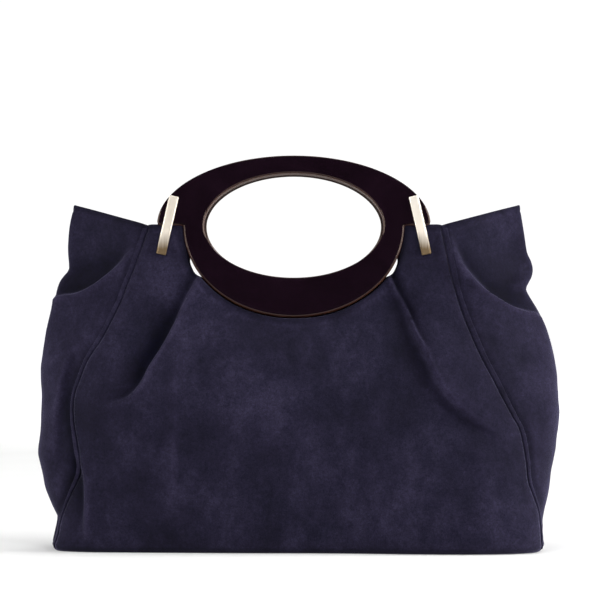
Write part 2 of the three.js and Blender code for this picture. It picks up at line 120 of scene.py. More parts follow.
# Height and distance from the middle of the seams between the panels and the gussets.
SEAM = {
    LEFT: (
        (0, 177), (12, 174.5), (22, 172.5), (28.7, 169.8), (37, 166.2), (48.5, 160.5), (56.7, 157),
        (65, 156.2), (76.1, 158.2), (88.5, 160.9), (101.1, 162.6), (114.9, 161.5), (126, 157),
        (136.8, 152), (152.5, 142.5), (171, 133), (188.7, 125.2), (210.2, 116.3), (223.4, 111.4),
        (237.7, 106.5), (256, 101),
    ),
    RIGHT: (
        (0, 181.3), (15, 181.4), (28.8, 179.8), (40, 176.2), (53.9, 171.6), (66.4, 170.1), (80.3, 168),
        (91.4, 164.7), (99.6, 159.9), (116.3, 150.3), (126, 145.5), (134, 141.2), (144.3, 136),
        (160, 129.2), (173, 124), (189.8, 118.7), (206.5, 114.4), (223.5, 110.9), (234.7, 108.6),
        (256, 104),
    ),
}
SEAM_GAP = 0.2
SEAM_MIDDLE = 2.4  # from the seam's line to the middle of its welt
CALM_TOP = (205, 222)  # heights between which the drape calms down towards the mouth
CALM_BASE = (0, 14)  # and from the base
BASE_FORWARD = {LEFT: -5.0, RIGHT: 13.0}  # the base's front edge comes forward more on the right
BASE_FORWARD_TOP, BASE_FORWARD_SHARE = 105, 0.75  # up to that height, and fully from that share out

RING = {
    "crown_half_width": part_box("front_ring")[1].x / MM,
    "crown_height": 52.8,
    "bowl_half_width": 81.2,
    "bowl_depth": 68.6,
    "hole_half_width": 66.0,
    "hole_half_height": 39.4,
    "thickness": 8.0,
    "bevel": 1.2,
    "ear_corner": 3.0,
    "ear_notch": 1.6,
}
NECK_GAP = {FRONT: 1.9, BACK: 1.0}  # round the bowls, in the panels' necklines
NECK_LOOP = {FRONT: 2.1, BACK: 4.0}  # how much wider the gap is where the suede hangs from the tabs
NECK_LOOP_AT = (5, 28, 36)  # degrees below the ears: where that starts, is widest, and ends
PLANE_Y = -25.0
PLANE_Z = 238.5
LEAN = math.radians(11)
BAR = {
    "width": 7.2, "length": 44.5, "thickness": 1.6, "bow": 0.5, "chamfer": 0.45,
    "foot_x": 97.5, "top_x": 88.1, "foot_w": -22.1, "top_w": 21.4, "on_tab": 2.4, "on_ear": 4.4,
    "rise_ends": 0.42,
}
SCREW = {
    "head_radius": 2.2, "head_height": 1.1, "radius": 1.2, "bite": 0.6, "seat": 0.12, "from_end": 6.0,
    "slot": 0.35, "slot_depth": 0.55,
}

# Folds of the drape, as seen from the front. Each is a ridge along a line of (x, z, height). Away
# from it the suede falls off over a soft length on one side, and steeply on the other, down to a
# hollow, a share of its height below the even surface, from which it recovers over a length.
# The steep flank is on the left of the line's direction, or on its right where left is -1.
# Each fold is ((soft, steep, hollow, recover, left), line).
FOLDS = {
    FRONT: (
        # pleat of the panel, left: the middle of the panel stands proud of its sides
        ((30, 2.0, 2.2, 13, -1), (
            (-63, 210, 1.6), (-69.8, 199, 2.0), (-77.3, 185, 2.4), (-84.8, 169, 2.9), (-94.2, 151, 3.3),
            (-103.7, 136, 3.3), (-110, 123, 2.6), (-118, 113.5, 1.8), (-128, 108.6, 1.0), (-141, 107, 0),
        )),
        # pleat of the panel, right, with its broad hollow on the inner side
        ((22, 2.2, 1.6, 16, -1), (
            (65, 209, 0.5), (69.4, 202.4, 0.8), (74, 192, 1.0), (81.9, 177.3, 1.4), (87.6, 161.5, 2.2),
            (97, 142.7, 2.8), (103.5, 127, 2.8), (111.6, 115.2, 2.4), (124.3, 102.5, 1.7),
            (138.4, 92.7, 0.9), (150, 86, 0),
        )),
        # the narrow crease beside its upper half
        ((3.6, 1.9, 0, 5, -1), (
            (68.2, 210, -3.6), (72, 202.4, -4.4), (77, 192, -4.4), (84.8, 177.3, -4.0),
            (91, 161.5, -2.8), (99, 145, -1.2), (106, 130, 0),
        )),
        # folds that hang across the left gusset
        ((18, 3.2, 1.5, 17, 1), (
            (-181, 183.5, 2.4), (-174, 184.8, 3.6), (-160, 187.0, 4.4), (-146.8, 193.6, 4.4),
            (-136, 202.0, 3.8), (-126, 211.0, 2.6), (-119, 219, 1.2), (-113, 226, 0),
        )),
        ((26, 15, 1.5, 16, 1), (
            (-186, 140, 0.6), (-172, 143, 1.4), (-158, 149, 1.8), (-147, 158, 1.7), (-138, 172, 1.2),
            (-131, 186, 0),
        )),
        # fold that hangs across the right gusset
        ((18, 3.2, 1.5, 18, 1), (
            (111.5, 238, 0.4), (117, 221, 1.6), (122, 210.5, 2.6), (130, 199.5, 3.5), (142, 188.0, 4.2),
            (153.3, 180.8, 4.4), (162.7, 176.4, 3.8), (172.1, 173.6, 2.6), (180, 172.5, 1.4),
        )),
        # small crease where the wing tucks under on the right
        ((8, 3.0, 0.8, 5, -1), (
            (158, 196, 0), (164, 193, 0.9), (170, 193.5, 1.4), (175, 197, 1.2), (179, 202, 0),
        )),
        # upright ridges beside the lower left seam, on the gusset and on the panel
        ((9, 3.0, 1.2, 9, 1), (
            (-160, 147, 0), (-163.5, 141.7, 1.2), (-169, 126, 2.3), (-174, 105, 2.1), (-175, 84, 1.4),
            (-174, 62, 0),
        )),
        ((14, 2.8, 1.4, 10, -1), (
            (-158.5, 75, 0), (-156.8, 68.8, 1.5), (-152, 57, 2.8), (-150.3, 38, 3.1), (-151, 20, 2.0),
            (-151, 8, 0),
        )),
        # soft upright edges low on the panel
        ((20, 6, 1.0, 14, -1), (
            (-84, 150, 0), (-87, 128, 0.9), (-86, 95, 1.3), (-88, 60, 1.3), (-90, 30, 0.8), (-91, 12, 0),
        )),
        ((20, 8, 0.8, 14, 1), (
            (128, 86, 0), (134, 66, 0.7), (138, 46, 0.9), (140, 24, 0.6), (141, 8, 0),
        )),
    ),
    BACK: (
        ((26, 3.4, 1.6, 15, 1), (
            (66, 206, 0.2), (74, 191, 1.4), (83, 171, 2.0), (95, 148, 2.4), (104, 130, 2.0),
            (118, 114, 1.2), (134, 104, 0),
        )),
        ((22, 3.4, 1.5, 14, -1), (
            (-67, 206, 0.2), (-73, 192, 1.2), (-81, 174, 1.8), (-89, 156, 2.2), (-100, 136, 2.2),
            (-114, 118, 1.6), (-132, 104, 0.8), (-146, 96, 0),
        )),
        ((18, 4, 1.4, 12, 1), (
            (-181, 184.5, 2.0), (-170, 185, 2.6), (-157, 186, 3.0), (-143, 193, 3.0), (-131, 205, 2.2),
            (-119, 220, 0),
        )),
        ((18, 3.8, 1.4, 12, 1), (
            (113, 232, 0.4), (120, 213, 1.6), (131, 199, 2.6), (145, 187, 3.0), (160, 179, 2.8),
            (172, 175, 2.0), (180, 173, 1.2),
        )),
        ((24, 10, 0.8, 16, -1), (
            (-40, 120, 0), (-46, 90, 1.0), (-44, 60, 1.2), (-50, 30, 0.8), (-52, 12, 0),
        )),
    ),
}

# ---------------------------------------------------------------- small tools


def smoothstep(value, start, end):
    t = np.clip((np.asarray(value, float) - start) / (end - start), 0, 1)
    return t * t * (3 - 2 * t)


def smootherstep(value, start, end):
    t = np.clip((np.asarray(value, float) - start) / (end - start), 0, 1)
    return t ** 3 * (t * (6 * t - 15) + 10)


def bell(distance, width):
    return np.exp(-((distance / width) ** 2))


def unit(vectors):
    return vectors / np.maximum(np.linalg.norm(vectors, axis=1, keepdims=True), 1e-12)


def run_of(points):
    """Length along a flat line up to each of its points."""
    return np.concatenate([[0], np.cumsum(np.hypot(*np.diff(points, axis=0).T))])


def read(table, at):
    """Smooth reading of a table of (place, value), by cubic Hermite pieces."""
    knots, values = np.array(table, float).T
    at = np.clip(np.asarray(at, float), knots[0], knots[-1])
    slopes = np.empty(len(knots))
    slopes[1:-1] = (values[2:] - values[:-2]) / (knots[2:] - knots[:-2])
    slopes[0] = (values[1] - values[0]) / (knots[1] - knots[0])
    slopes[-1] = (values[-1] - values[-2]) / (knots[-1] - knots[-2])
    i = np.clip(np.searchsorted(knots, at, side="right") - 1, 0, len(knots) - 2)
    span = knots[i + 1] - knots[i]
    t = (at - knots[i]) / span
    return (
        (2 * t ** 3 - 3 * t ** 2 + 1) * values[i]
        + (t ** 3 - 2 * t ** 2 + t) * span * slopes[i]
        + (3 * t ** 2 - 2 * t ** 3) * values[i + 1]
        + (t ** 3 - t ** 2) * span * slopes[i + 1]
    )


def by_side(tables, side, at):
    return np.where(np.asarray(side) < 0, read(tables[LEFT], at), read(tables[RIGHT], at))


def new_mesh(name, points, faces, smooth=True):
    """A mesh object from points in millimetres, with its faces turned outwards."""
    mesh = bpy.data.meshes.new(name)
    mesh.from_pydata((np.asarray(points) * MM).tolist(), [], faces)
    mesh.update()
    shape = bmesh.new()
    shape.from_mesh(mesh)
    bmesh.ops.recalc_face_normals(shape, faces=shape.faces)
    shape.to_mesh(mesh)
    shape.free()
    mesh.polygons.foreach_set("use_smooth", [smooth] * len(mesh.polygons))
    piece = bpy.data.objects.new(name, mesh)
    bpy.context.scene.collection.objects.link(piece)
    return piece


def finish_piece(piece, material, slot, body, *nodes):
    piece.data.materials.clear()
    piece.data.materials.append(material)
    if nodes:
        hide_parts(*nodes)
    if body:
        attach(piece, body)
    return piece


def band_faces(rows, count, start=0):
    """Quads between closed rows of count points each."""
    faces = []
    for r in range(rows - 1):
        low, high = start + r * count, start + (r + 1) * count
        for c in range(count):
            d = (c + 1) % count
            faces.append((low + c, low + d, high + d, high + c))
    return faces


def tube_faces(rows, count):
    """The same, with a flat end on the first and the last row."""
    first, last = tuple(range(count)), tuple(range((rows - 1) * count, rows * count))
    return band_faces(rows, count) + [first, last[::-1]]


def domed_faces(rows, count):
    """The same, between a single first point and a single last point."""
    end = rows * count + 1
    faces = []
    for k in range(count):
        m = (k + 1) % count
        faces += [(0, 1 + k, 1 + m), (end, end - count + m, end - count + k)]
    return faces + band_faces(rows, count, 1)


def paint(piece, name, values):
    """Gives each vertex a value that the materials read."""
    attribute = piece.data.attributes.new(name, "FLOAT", "POINT")
    attribute.data.foreach_set("value", np.asarray(values, np.float32))


# ---------------------------------------------------------------- the body's surface
# A place on it is a share t of the half-width and a length s up the wall from under the base.


def height_of(s):
    curled = BASE_FILLET * (1 - np.cos(np.clip(s, 0, CURL) / BASE_FILLET))
    return np.where(s < CURL, curled, s - CURL + BASE_FILLET)


def length_of(z):
    return z + CURL - BASE_FILLET


def inset_of(s):
    return BASE_FILLET * (1 - np.sin(np.clip(s, 0, CURL) / BASE_FILLET))


def plan_depth(side, t, z, face):
    """How far the wall stands from the middle plane."""
    depth = read(DEPTH, z)
    folded = smootherstep(t, PINCH_START, PINCH_END) * read(PINCH, z)
    depth = depth + (WING_HALF_DEPTH - depth) * folded
    n = read(SQUARENESS, z)
    t = np.clip(t, 0, 1)
    forward = np.where(np.asarray(side) < 0, BASE_FORWARD[LEFT], BASE_FORWARD[RIGHT])
    forward = forward * (1 - smoothstep(z, 0, BASE_FORWARD_TOP)) * smoothstep(t, 0, BASE_FORWARD_SHARE)
    forward = np.where(np.asarray(face) == FRONT, forward, 0)
    return (depth + forward) * np.maximum(0, 1 - t ** n) ** (1 / n)


def on_body(side, t, s, face):
    z = height_of(s)
    inset = inset_of(s)
    half_width = by_side(HALF_WIDTH, side, z)
    share = (half_width - inset) / half_width
    y = plan_depth(side, t, z, face)
    y = y * (1 - inset / read(DEPTH, z))
    return np.stack([side * t * half_width * share, face * y, z], -1)


U_STEPS = 160
Z_STEPS = 260


@functools.cache
def share_table(side, face):
    """For each millimetre of height, the shares t at even steps round from the seam to the fold."""
    fine = 1 - (1 - np.linspace(0, 1, 700)) ** 2.5
    rows = []
    for z in range(Z_STEPS):
        half_width = float(by_side(HALF_WIDTH, side, z))
        start = float(by_side(SEAM, side, z)) / half_width
        t = start + (1 - start) * fine
        x, y = t * half_width, plan_depth(side, t, np.full_like(t, z), face)
        along = run_of(np.stack([x, y], -1))
        rows.append(np.interp(np.linspace(0, 1, U_STEPS + 1), along / along[-1], t))
    return np.array(rows)


def share_at(side, u, z, face):
    table = share_table(side, face)
    zi = np.clip(z, 0, Z_STEPS - 1.001)
    ui = np.clip(u, 0, 1) * (U_STEPS - 1e-6)
    z0, u0 = zi.astype(int), ui.astype(int)
    fz, fu = zi - z0, ui - u0
    low = table[z0, u0] * (1 - fu) + table[z0, u0 + 1] * fu
    high = table[z0 + 1, u0] * (1 - fu) + table[z0 + 1, u0 + 1] * fu
    return low * (1 - fz) + high * fz


def on_panel(p, s, face, side=None):
    """p is the distance from the middle, before the base's curl draws it in."""
    side = np.where(p < 0, LEFT, RIGHT)
    t = np.abs(p) / by_side(HALF_WIDTH, side, height_of(s))
    return on_body(side, t, s, np.full(np.shape(p), face))


def on_gusset(u, s, face, side):
    """u goes from 0 at the seam to 1 at the fold, and on round it."""
    u, s = np.asarray(u, float), np.asarray(s, float)
    beyond = u > 1
    near = np.where(beyond, 2 - u, u)
    z = height_of(s)
    t = np.where(beyond, share_at(side, near, z, -face), share_at(side, near, z, face))
    t = np.where(near > 1 - 1e-6, 1.0, t)
    return on_body(np.full(u.shape, side), t, s, np.where(beyond, -face, face))


def surface(place, a, s, face, side, step_a):
    """Points of the undisplaced surface and its outward normals."""
    points = place(a, s, face, side)
    along = place(a + step_a, s, face, side) - place(a - step_a, s, face, side)
    up = place(a, s + 0.4, face, side) - place(a, np.maximum(s - 0.4, 0), face, side)
    normals = unit(np.cross(along, up))
    outward = (points - (0, 0, 60)) / (190, 60, 2000)
    flip = np.sign((normals * outward).sum(1))
    flip[flip == 0] = 1
    return points, normals * flip[:, None]


# ---------------------------------------------------------------- drape

# the painted highlight, a lighter line beside a ridge, which is full on ridges of that height
RIDGE_HIGHLIGHT = {"width": 1.9, "beside": 0.6, "full_height": 2.5}
WAVES = ((1.1, 95), (0.45, 38), (0.12, 13))  # height and length of the drape's waves
WAVES_LEFT_AT_TOP = 0.12
WAVE_COUNT, WAVE_SPREAD, WAVE_LEVEL = 7, (0.7, 1.6), 3.2
PUCKER = {"every": 7.5, "sway": 11.0, "narrow": 3.4, "wide": 14, "depth": 1.3, "ripple": 0.25, "draw": 1.6}


def fine_line(line, steps=10):
    """A smooth line through the points of a fold, finely stepped."""
    line = np.array(line, float)
    along = run_of(line[:, :2])
    at = np.linspace(0, along[-1], (len(line) - 1) * steps + 1)
    return np.stack([read(np.stack([along, line[:, k]], -1), at) for k in range(line.shape[1])], -1)


def distance_to(line, x, z):
    """Signed distance to a line, positive on its left, and its third column at the nearest point."""
    best = np.full(x.shape, 1e9)
    signed = np.zeros(x.shape)
    value = np.zeros(x.shape)
    for (ax, az, av), (bx, bz, bv) in zip(line[:-1], line[1:]):
        dx, dz = bx - ax, bz - az
        k = np.clip(((x - ax) * dx + (z - az) * dz) / (dx * dx + dz * dz), 0, 1)
        px, pz = x - ax - k * dx, z - az - k * dz
        d = np.hypot(px, pz)
        closer = d < best
        best = np.where(closer, d, best)
        signed = np.where(closer, np.where(dx * pz - dz * px > 0, d, -d), signed)
        value = np.where(closer, av + (bv - av) * k, value)
    return signed, value


def soft_noise(x, z, scale, seed):
    """Smooth random waves, between about -1 and 1."""
    random = np.random.default_rng(seed)
    total = np.zeros(np.shape(x))
    for _ in range(WAVE_COUNT):
        angle = random.uniform(0, 2 * math.pi)
        frequency = 2 * math.pi / (scale * random.uniform(*WAVE_SPREAD))
        phase = random.uniform(0, 2 * math.pi)
        total += np.sin((x * math.cos(angle) + z * math.sin(angle)) * frequency + phase)
    return total / WAVE_LEVEL


def seam_distance(x, z):
    """Distance from the nearer seam as seen from the front, positive on the gusset's side."""
    side = np.where(x < 0, LEFT, RIGHT)
    return np.abs(x) - by_side(SEAM, side, z)


def folds_at(x, z, face):
    """The folds' height, and how much painted highlight lies along their ridges."""
    height = np.zeros(np.shape(x))
    ridge_highlight = np.zeros(np.shape(x))
    for (soft, steep, hollow, recover, left), line in FOLDS[face]:
        signed, value = distance_to(fine_line(line), x, z)
        signed = signed * left
        away = np.sqrt(signed ** 2 + 1.0) - 1.0
        fall = bell(signed, steep)
        dip = hollow * (1 - fall) * np.exp(-away / recover)
        height += value * np.where(signed < 0, np.exp(-away / soft), fall - dip)
        # painted highlight: a lighter line beside each ridge
        near_ridge = bell(signed + RIDGE_HIGHLIGHT["beside"], RIDGE_HIGHLIGHT["width"])
        ridge_highlight = np.maximum(ridge_highlight, near_ridge * np.clip(value / RIDGE_HIGHLIGHT["full_height"], 0, 1))
    return height, ridge_highlight


def seam_draw(x, z):
    """How far the suede is drawn in along the seams, with small puckers across them."""
    off_seam = seam_distance(x, z) - SEAM_MIDDLE
    pucker = 0.5 + 0.5 * np.sin(z * 2 * math.pi / PUCKER["every"] + 2 * np.sin(z / PUCKER["sway"]))
    draw = bell(off_seam, PUCKER["narrow"]) * (PUCKER["depth"] + PUCKER["ripple"] * pucker)
    middle = (1 - smoothstep(z, *CALM_TOP)) * smoothstep(z, *CALM_BASE)
    return draw + PUCKER["draw"] * bell(off_seam, PUCKER["wide"]) * middle


def drape(x, z, face, folds=None):
    """How far the suede stands out from the even surface."""
    height = folds_at(x, z, face)[0] if folds is None else folds
    seed = 3 if face == FRONT else 4
    waves = sum(rise * soft_noise(x, z, length, seed + 2 * k) for k, (rise, length) in enumerate(WAVES))
    calm = WAVES_LEFT_AT_TOP + (1 - WAVES_LEFT_AT_TOP) * (1 - smoothstep(z, *CALM_TOP))
    return height + waves * smoothstep(z, *CALM_BASE) * calm - seam_draw(x, z)


# Where the drape fades: at the tabs' feet, and at their inner and outer sides. left is what is left.
TAB_CALM = {"foot": (209, 216), "inner": (60, 76), "outer": (103, 110), "left": 0.15}


def calm_at_tabs(height, x, z):
    """The tabs lie flat under the bars."""
    across = smoothstep(np.abs(x), *TAB_CALM["inner"]) * (1 - smoothstep(np.abs(x), *TAB_CALM["outer"]))
    near = smoothstep(z, *TAB_CALM["foot"]) * across
    return height * (1 - near) + np.minimum(height, 0.1) * TAB_CALM["left"] * near


# ---------------------------------------------------------------- sheets of suede, leather and cloth

RIM_ANGLES = (54, 18, -18, -54)  # degrees round the edge of a sheet, one row of points each


def closed_sheet(name, outer, inner, faces, rim, roundness):
    """A closed sheet between two skins. Its rim is rounded where roundness says so."""
    count = len(outer)
    rim = np.array(rim)
    tangent = np.roll(outer[rim], -1, axis=0) - np.roll(outer[rim], 1, axis=0)
    middle = (outer[rim] + inner[rim]) / 2
    half = (outer[rim] - inner[rim]) / 2
    away = unit(np.cross(tangent, half))
    inward = outer.mean(0) - outer[rim]
    if (away * inward).sum(1).mean() > 0:
        away = -away
    reach = (np.linalg.norm(half, axis=1) * roundness)[:, None]
    rings = [rim]
    points = [outer, inner]
    total = 2 * count
    for angle in np.radians(RIM_ANGLES):
        points.append(middle + half * math.sin(angle) + away * reach * math.cos(angle))
        rings.append(np.arange(total, total + len(rim)))
        total += len(rim)
    rings.append(rim + count)
    all_faces = [tuple(f) for f in faces] + [tuple(i + count for i in reversed(f)) for f in faces]
    for upper, lower in zip(rings[:-1], rings[1:]):
        corners = (upper, lower, np.roll(lower, -1), np.roll(upper, -1))
        all_faces += np.stack(corners, -1).tolist()
    return new_mesh(name, np.concatenate(points), all_faces)


def filled(outline, spacing, inside, lines=()):
    """Triangles over an outline: its points, evenly spaced ones inside it, and ones along lines."""
    outline = np.asarray(outline)
    low, high = outline.min(0), outline.max(0)
    rows = []
    step = spacing * math.sqrt(3) / 2
    for j, b in enumerate(np.arange(low[1] + step, high[1], step)):
        a = np.arange(low[0] + (spacing / 2 if j % 2 else 0), high[0], spacing)
        rows.append(np.stack([a, np.full(a.shape, b)], -1))
    points = np.concatenate(rows)
    points = points[inside(points[:, 0], points[:, 1], spacing * 0.55)]
    extra = []
    for line in lines:
        line = line[inside(line[:, 0], line[:, 1], spacing * 0.55)]
        if len(line) > 2:
            signed, _ = distance_to(np.column_stack([line, np.zeros(len(line))]), points[:, 0], points[:, 1])
            points = points[np.abs(signed) > spacing * 0.6]
            extra.append(line)
    cloud = [outline, *extra, points]
    count = len(outline)
    edges = [(i, (i + 1) % count) for i in range(count)]
    verts, _, faces, origin, _, _ = delaunay_2d_cdt(
        [Vector(p) for p in np.concatenate(cloud)], edges, [list(range(count))], 1, 1e-5
    )
    place = np.array([tuple(v) for v in verts])
    where = {o: i for i, olds in enumerate(origin) for o in olds}
    return place, faces, [where[i] for i in range(count)]


def even(points, spacing):
    """The same line, with points at even spacing, ends kept."""
    points = np.asarray(points, float)
    along = run_of(points)
    at = np.linspace(0, along[-1], max(2, int(along[-1] / spacing) + 1))
    return np.stack([np.interp(at, along, points[:, k]) for k in range(2)], -1)


def chain(*lines):
    """Lines joined end to end into one outline, without repeated corners."""
    return np.concatenate([line[:-1] for line in lines])


def neck_curve(degrees, face, extra):
    """The neckline, as seen from the front, at an angle below the ears (0 to 180 degrees)."""
    below = np.minimum(degrees, 180 - degrees)
    start, widest, end = NECK_LOOP_AT
    loop = np.where(below < widest, smoothstep(below, start, widest), 1 - smoothstep(below, widest, end))
    gap = NECK_GAP[face] + extra + NECK_LOOP[face] * loop
    turn = np.radians(degrees)
    x = (RING["bowl_half_width"] + gap) * np.cos(turn)
    return x, PLANE_Z - (RING["bowl_depth"] + gap) * math.cos(LEAN) * np.sin(turn)


def neck_distance(x, z, face, extra=0.0):
    """Rough distance below the neckline; negative in the opening."""
    depth, half = RING["bowl_depth"] * math.cos(LEAN), RING["bowl_half_width"]
    degrees = np.degrees(np.arctan2(np.maximum(PLANE_Z - z, 0) / depth, x / half))
    edge_x, edge_z = neck_curve(degrees, face, extra)
    return np.hypot(x, PLANE_Z - z) - np.hypot(edge_x, PLANE_Z - edge_z)


FOLD_STEPS = 16  # points of the mesh on each step of a fold's line


def panel_outline(face, spacing, foot, extra, margin, top):
    """Anticlockwise from the foot of the left seam, with the neckline's dip in its top."""
    s = np.linspace(length_of(foot) if foot else 0.0, length_of(top), 400)
    seam_right = by_side(SEAM, RIGHT, height_of(s)) - margin
    seam_left = -(by_side(SEAM, LEFT, height_of(s)) - margin)
    x, z = neck_curve(np.linspace(0, 180, 800), face, extra)
    neck = np.stack([x, length_of(z)], -1)[z < top]
    level = length_of(top)
    return chain(
        even([(seam_left[0], s[0]), (seam_right[0], s[0])], spacing),
        even(np.stack([seam_right, s], -1), spacing),
        even([(seam_right[-1], level), neck[0]], spacing),
        even(neck, spacing * 0.8),
        even([neck[-1], (seam_left[-1], level)], spacing),
        even(np.stack([seam_left, s], -1)[::-1], spacing),
    )


def panel_sheet(name, face, outer_depth, inner_depth, spacing, foot=0.0, extra=0.0, margin=SEAM_GAP,
                top=MOUTH_Z, roundness=1.0, ruffle=1.0):
    """A front or back wall between the seams: of suede, or of lining where its ruffle is below 1."""
    outline = panel_outline(face, spacing, foot, extra, margin, top)
    low_s, high_s = outline[:, 1].min(), outline[:, 1].max()

    def inside(p, s, clear):
        side = np.where(p < 0, LEFT, RIGHT)
        z = height_of(s)
        in_sides = np.abs(p) < by_side(SEAM, side, z) - margin - clear
        beyond_neck = neck_distance(p, z, face, extra) > clear
        return in_sides & beyond_neck & (s > low_s + clear) & (s < high_s - clear)

    lines = [fine_line(line, FOLD_STEPS) for _, line in FOLDS[face]]
    lines = [np.stack([line[:, 0], length_of(line[:, 1])], -1) for line in lines]
    place, faces, rim = filled(outline, spacing, inside, lines)
    p, s = place.T
    is_suede = ruffle == 1
    base, normals = surface(on_panel, p, s, face, None, PANEL_STEP)
    x, z = base[:, 0], base[:, 2]
    folds, ridge_highlight = folds_at(x, z, face)
    height = calm_at_tabs(drape(x, z, face, folds) * ruffle, x, z)
    edge = edge_distance(x, z, face)
    if is_suede:
        height = height + hem_height(edge)
    outer, inner = (base + normals * (height - depth(z))[:, None] for depth in (outer_depth, inner_depth))
    if face == BACK and not is_suede:
        calm = zip_calm(x, z)
        outer[:, 1] += (ZIP["lining_out"] - outer[:, 1]) * calm
        inner[:, 1] += (ZIP["lining_in"] - inner[:, 1]) * calm
    at_seam = seam_distance(p[rim], height_of(s[rim])) > -margin - 0.05
    at_top = s[rim] > high_s - 0.01
    rounded = np.where((at_seam & ~at_top) | (s[rim] < low_s + 0.01), 0.0, roundness)
    piece = closed_sheet(name, outer, inner, faces, rim, rounded)
    # painted shade in hollows, by the welts and at the base, and painted highlights on ridges
    if is_suede:
        paint_light_and_shade(piece, suede_light_and_shade(x, z, height, edge, ridge_highlight), rim)
    return piece


def edge_distance(x, z, face):
    """Distance below the neckline and the tabs' tops."""
    return np.minimum(neck_distance(x, z, face), MOUTH_Z - z)


# A turned and stitched edge: a rounded roll, with a stitched groove at a distance from the edge.
HEM = {"roll": 0.3, "roll_ends": (2.0, 3.4), "groove": 0.4, "groove_at": 3.6, "groove_width": 0.9}


def hem_height(distance):
    roll = HEM["roll"] * (1 - smoothstep(distance, *HEM["roll_ends"]))
    return roll - HEM["groove"] * bell(distance - HEM["groove_at"], HEM["groove_width"])


# Painted light and shade on the suede: painted shade per mm of hollow and painted light per mm of height,
# within limits, a painted highlight along ridges, darker on the hem and lighter on the line beside it,
# painted shade under the curl of the base, and painted shade in the grooves beside the welts.
PAINTED_SHADING = {
    "hollow": 0.22, "height": 0.06, "limits": (-3.4, 3), "seam_share": 0.85, "ridge_highlight": 0.5,
    "hem": 0.42, "hem_ends": (1.6, 3.0), "line": 0.22, "line_at": 4.4, "line_width": 1.0,
    "base": 0.6, "base_ends": (1.0, 5.5), "welt": 0.32, "welt_at": 2.6, "welt_width": 1.5,
}
# Patches of painted shade and painted light: middle (x, z), reach (x, z) and by how much.
PAINTED_LIGHT_PATCHES = (
    ((-114, 106), (38, 50), -0.22),
    ((-97, 148), (9, 24), -0.20),
    ((0, 100), (80, 45), 0.08),
    ((0, 30), (110, 24), -0.05),
    ((126, 42), (32, 34), 0.08),
    ((-152, 222), (26, 18), 0.08),
    ((152, 220), (26, 20), -0.16),
    ((188, 105), (18, 52), 0.55),
)


def painted_patch_light(x, z):
    """How much painted light or painted shade the patches add."""
    patch_light = np.zeros(np.shape(x))
    for (middle_x, middle_z), (reach_x, reach_z), amount in PAINTED_LIGHT_PATCHES:
        patch_light += amount * bell(x - middle_x, reach_x) * bell(z - middle_z, reach_z)
    return patch_light


def suede_light_and_shade(x, z, height, edge, ridge_highlight):
    """Painted shade in hollows, by the welts and under the base, painted highlights on ridges, patches of
    both, and darker turned edges.
    """
    height = height + PAINTED_SHADING["seam_share"] * seam_draw(x, z)
    tone = 1 + np.where(height < 0, PAINTED_SHADING["hollow"], PAINTED_SHADING["height"]) * np.clip(height, *PAINTED_SHADING["limits"])
    tone = tone + PAINTED_SHADING["ridge_highlight"] * ridge_highlight + painted_patch_light(x, z)
    tone -= PAINTED_SHADING["hem"] * (1 - smoothstep(edge, *PAINTED_SHADING["hem_ends"]))
    tone += PAINTED_SHADING["line"] * bell(edge - PAINTED_SHADING["line_at"], PAINTED_SHADING["line_width"])
    tone -= PAINTED_SHADING["base"] * (1 - smoothstep(z, *PAINTED_SHADING["base_ends"]))
    off_seam = np.abs(seam_distance(x, z) - SEAM_MIDDLE)
    return tone - PAINTED_SHADING["welt"] * bell(off_seam - PAINTED_SHADING["welt_at"], PAINTED_SHADING["welt_width"])


def paint_light_and_shade(piece, tone, rim):
    """The painted light and shade of a sheet's outer skin; the inner skin and the rim follow it."""
    paint(piece, "tone", np.concatenate([tone, tone, np.tile(tone[rim], len(RIM_ANGLES))]))


def wing_top(u):
    """Height of the mouth's edge over a gusset, which rises towards the fold."""
    return MOUTH_Z + WING_RISE * np.minimum(1, np.asarray(u) * WING_STEEPNESS) ** WING_CURVE


GUSSET_RUN = 58.0  # rough width of half a gusset, for even triangles
GUSSET_STEP = 0.002  # share of it over which its slope is measured
FOLD_FLAT_FROM = 0.8  # share of it at which the drape starts to fade towards the fold


def fold_lines_on_gusset(side, face):
    """The folds' lines on half a gusset, as points of (run from the seam, length up the wall)."""
    lines = []
    for _, line in FOLDS[face]:
        line = fine_line(line, FOLD_STEPS)
        line = line[np.sign(line[:, 0]) == side]
        if len(line) < 3:
            continue
        z = line[:, 1]
        share = np.abs(line[:, 0]) / by_side(HALF_WIDTH, side, z)
        table = share_table(side, face)
        steps = np.linspace(0, 1, U_STEPS + 1)
        us = np.array([
            np.interp(t, table[int(np.clip(round(h), 0, Z_STEPS - 1))], steps) for t, h in zip(share, z)
        ])
        keep = (us > 0.01) & (us < 0.99)
        if keep.sum() > 2:
            lines.append(np.stack([us[keep] * GUSSET_RUN, length_of(z[keep])], -1))
    return lines


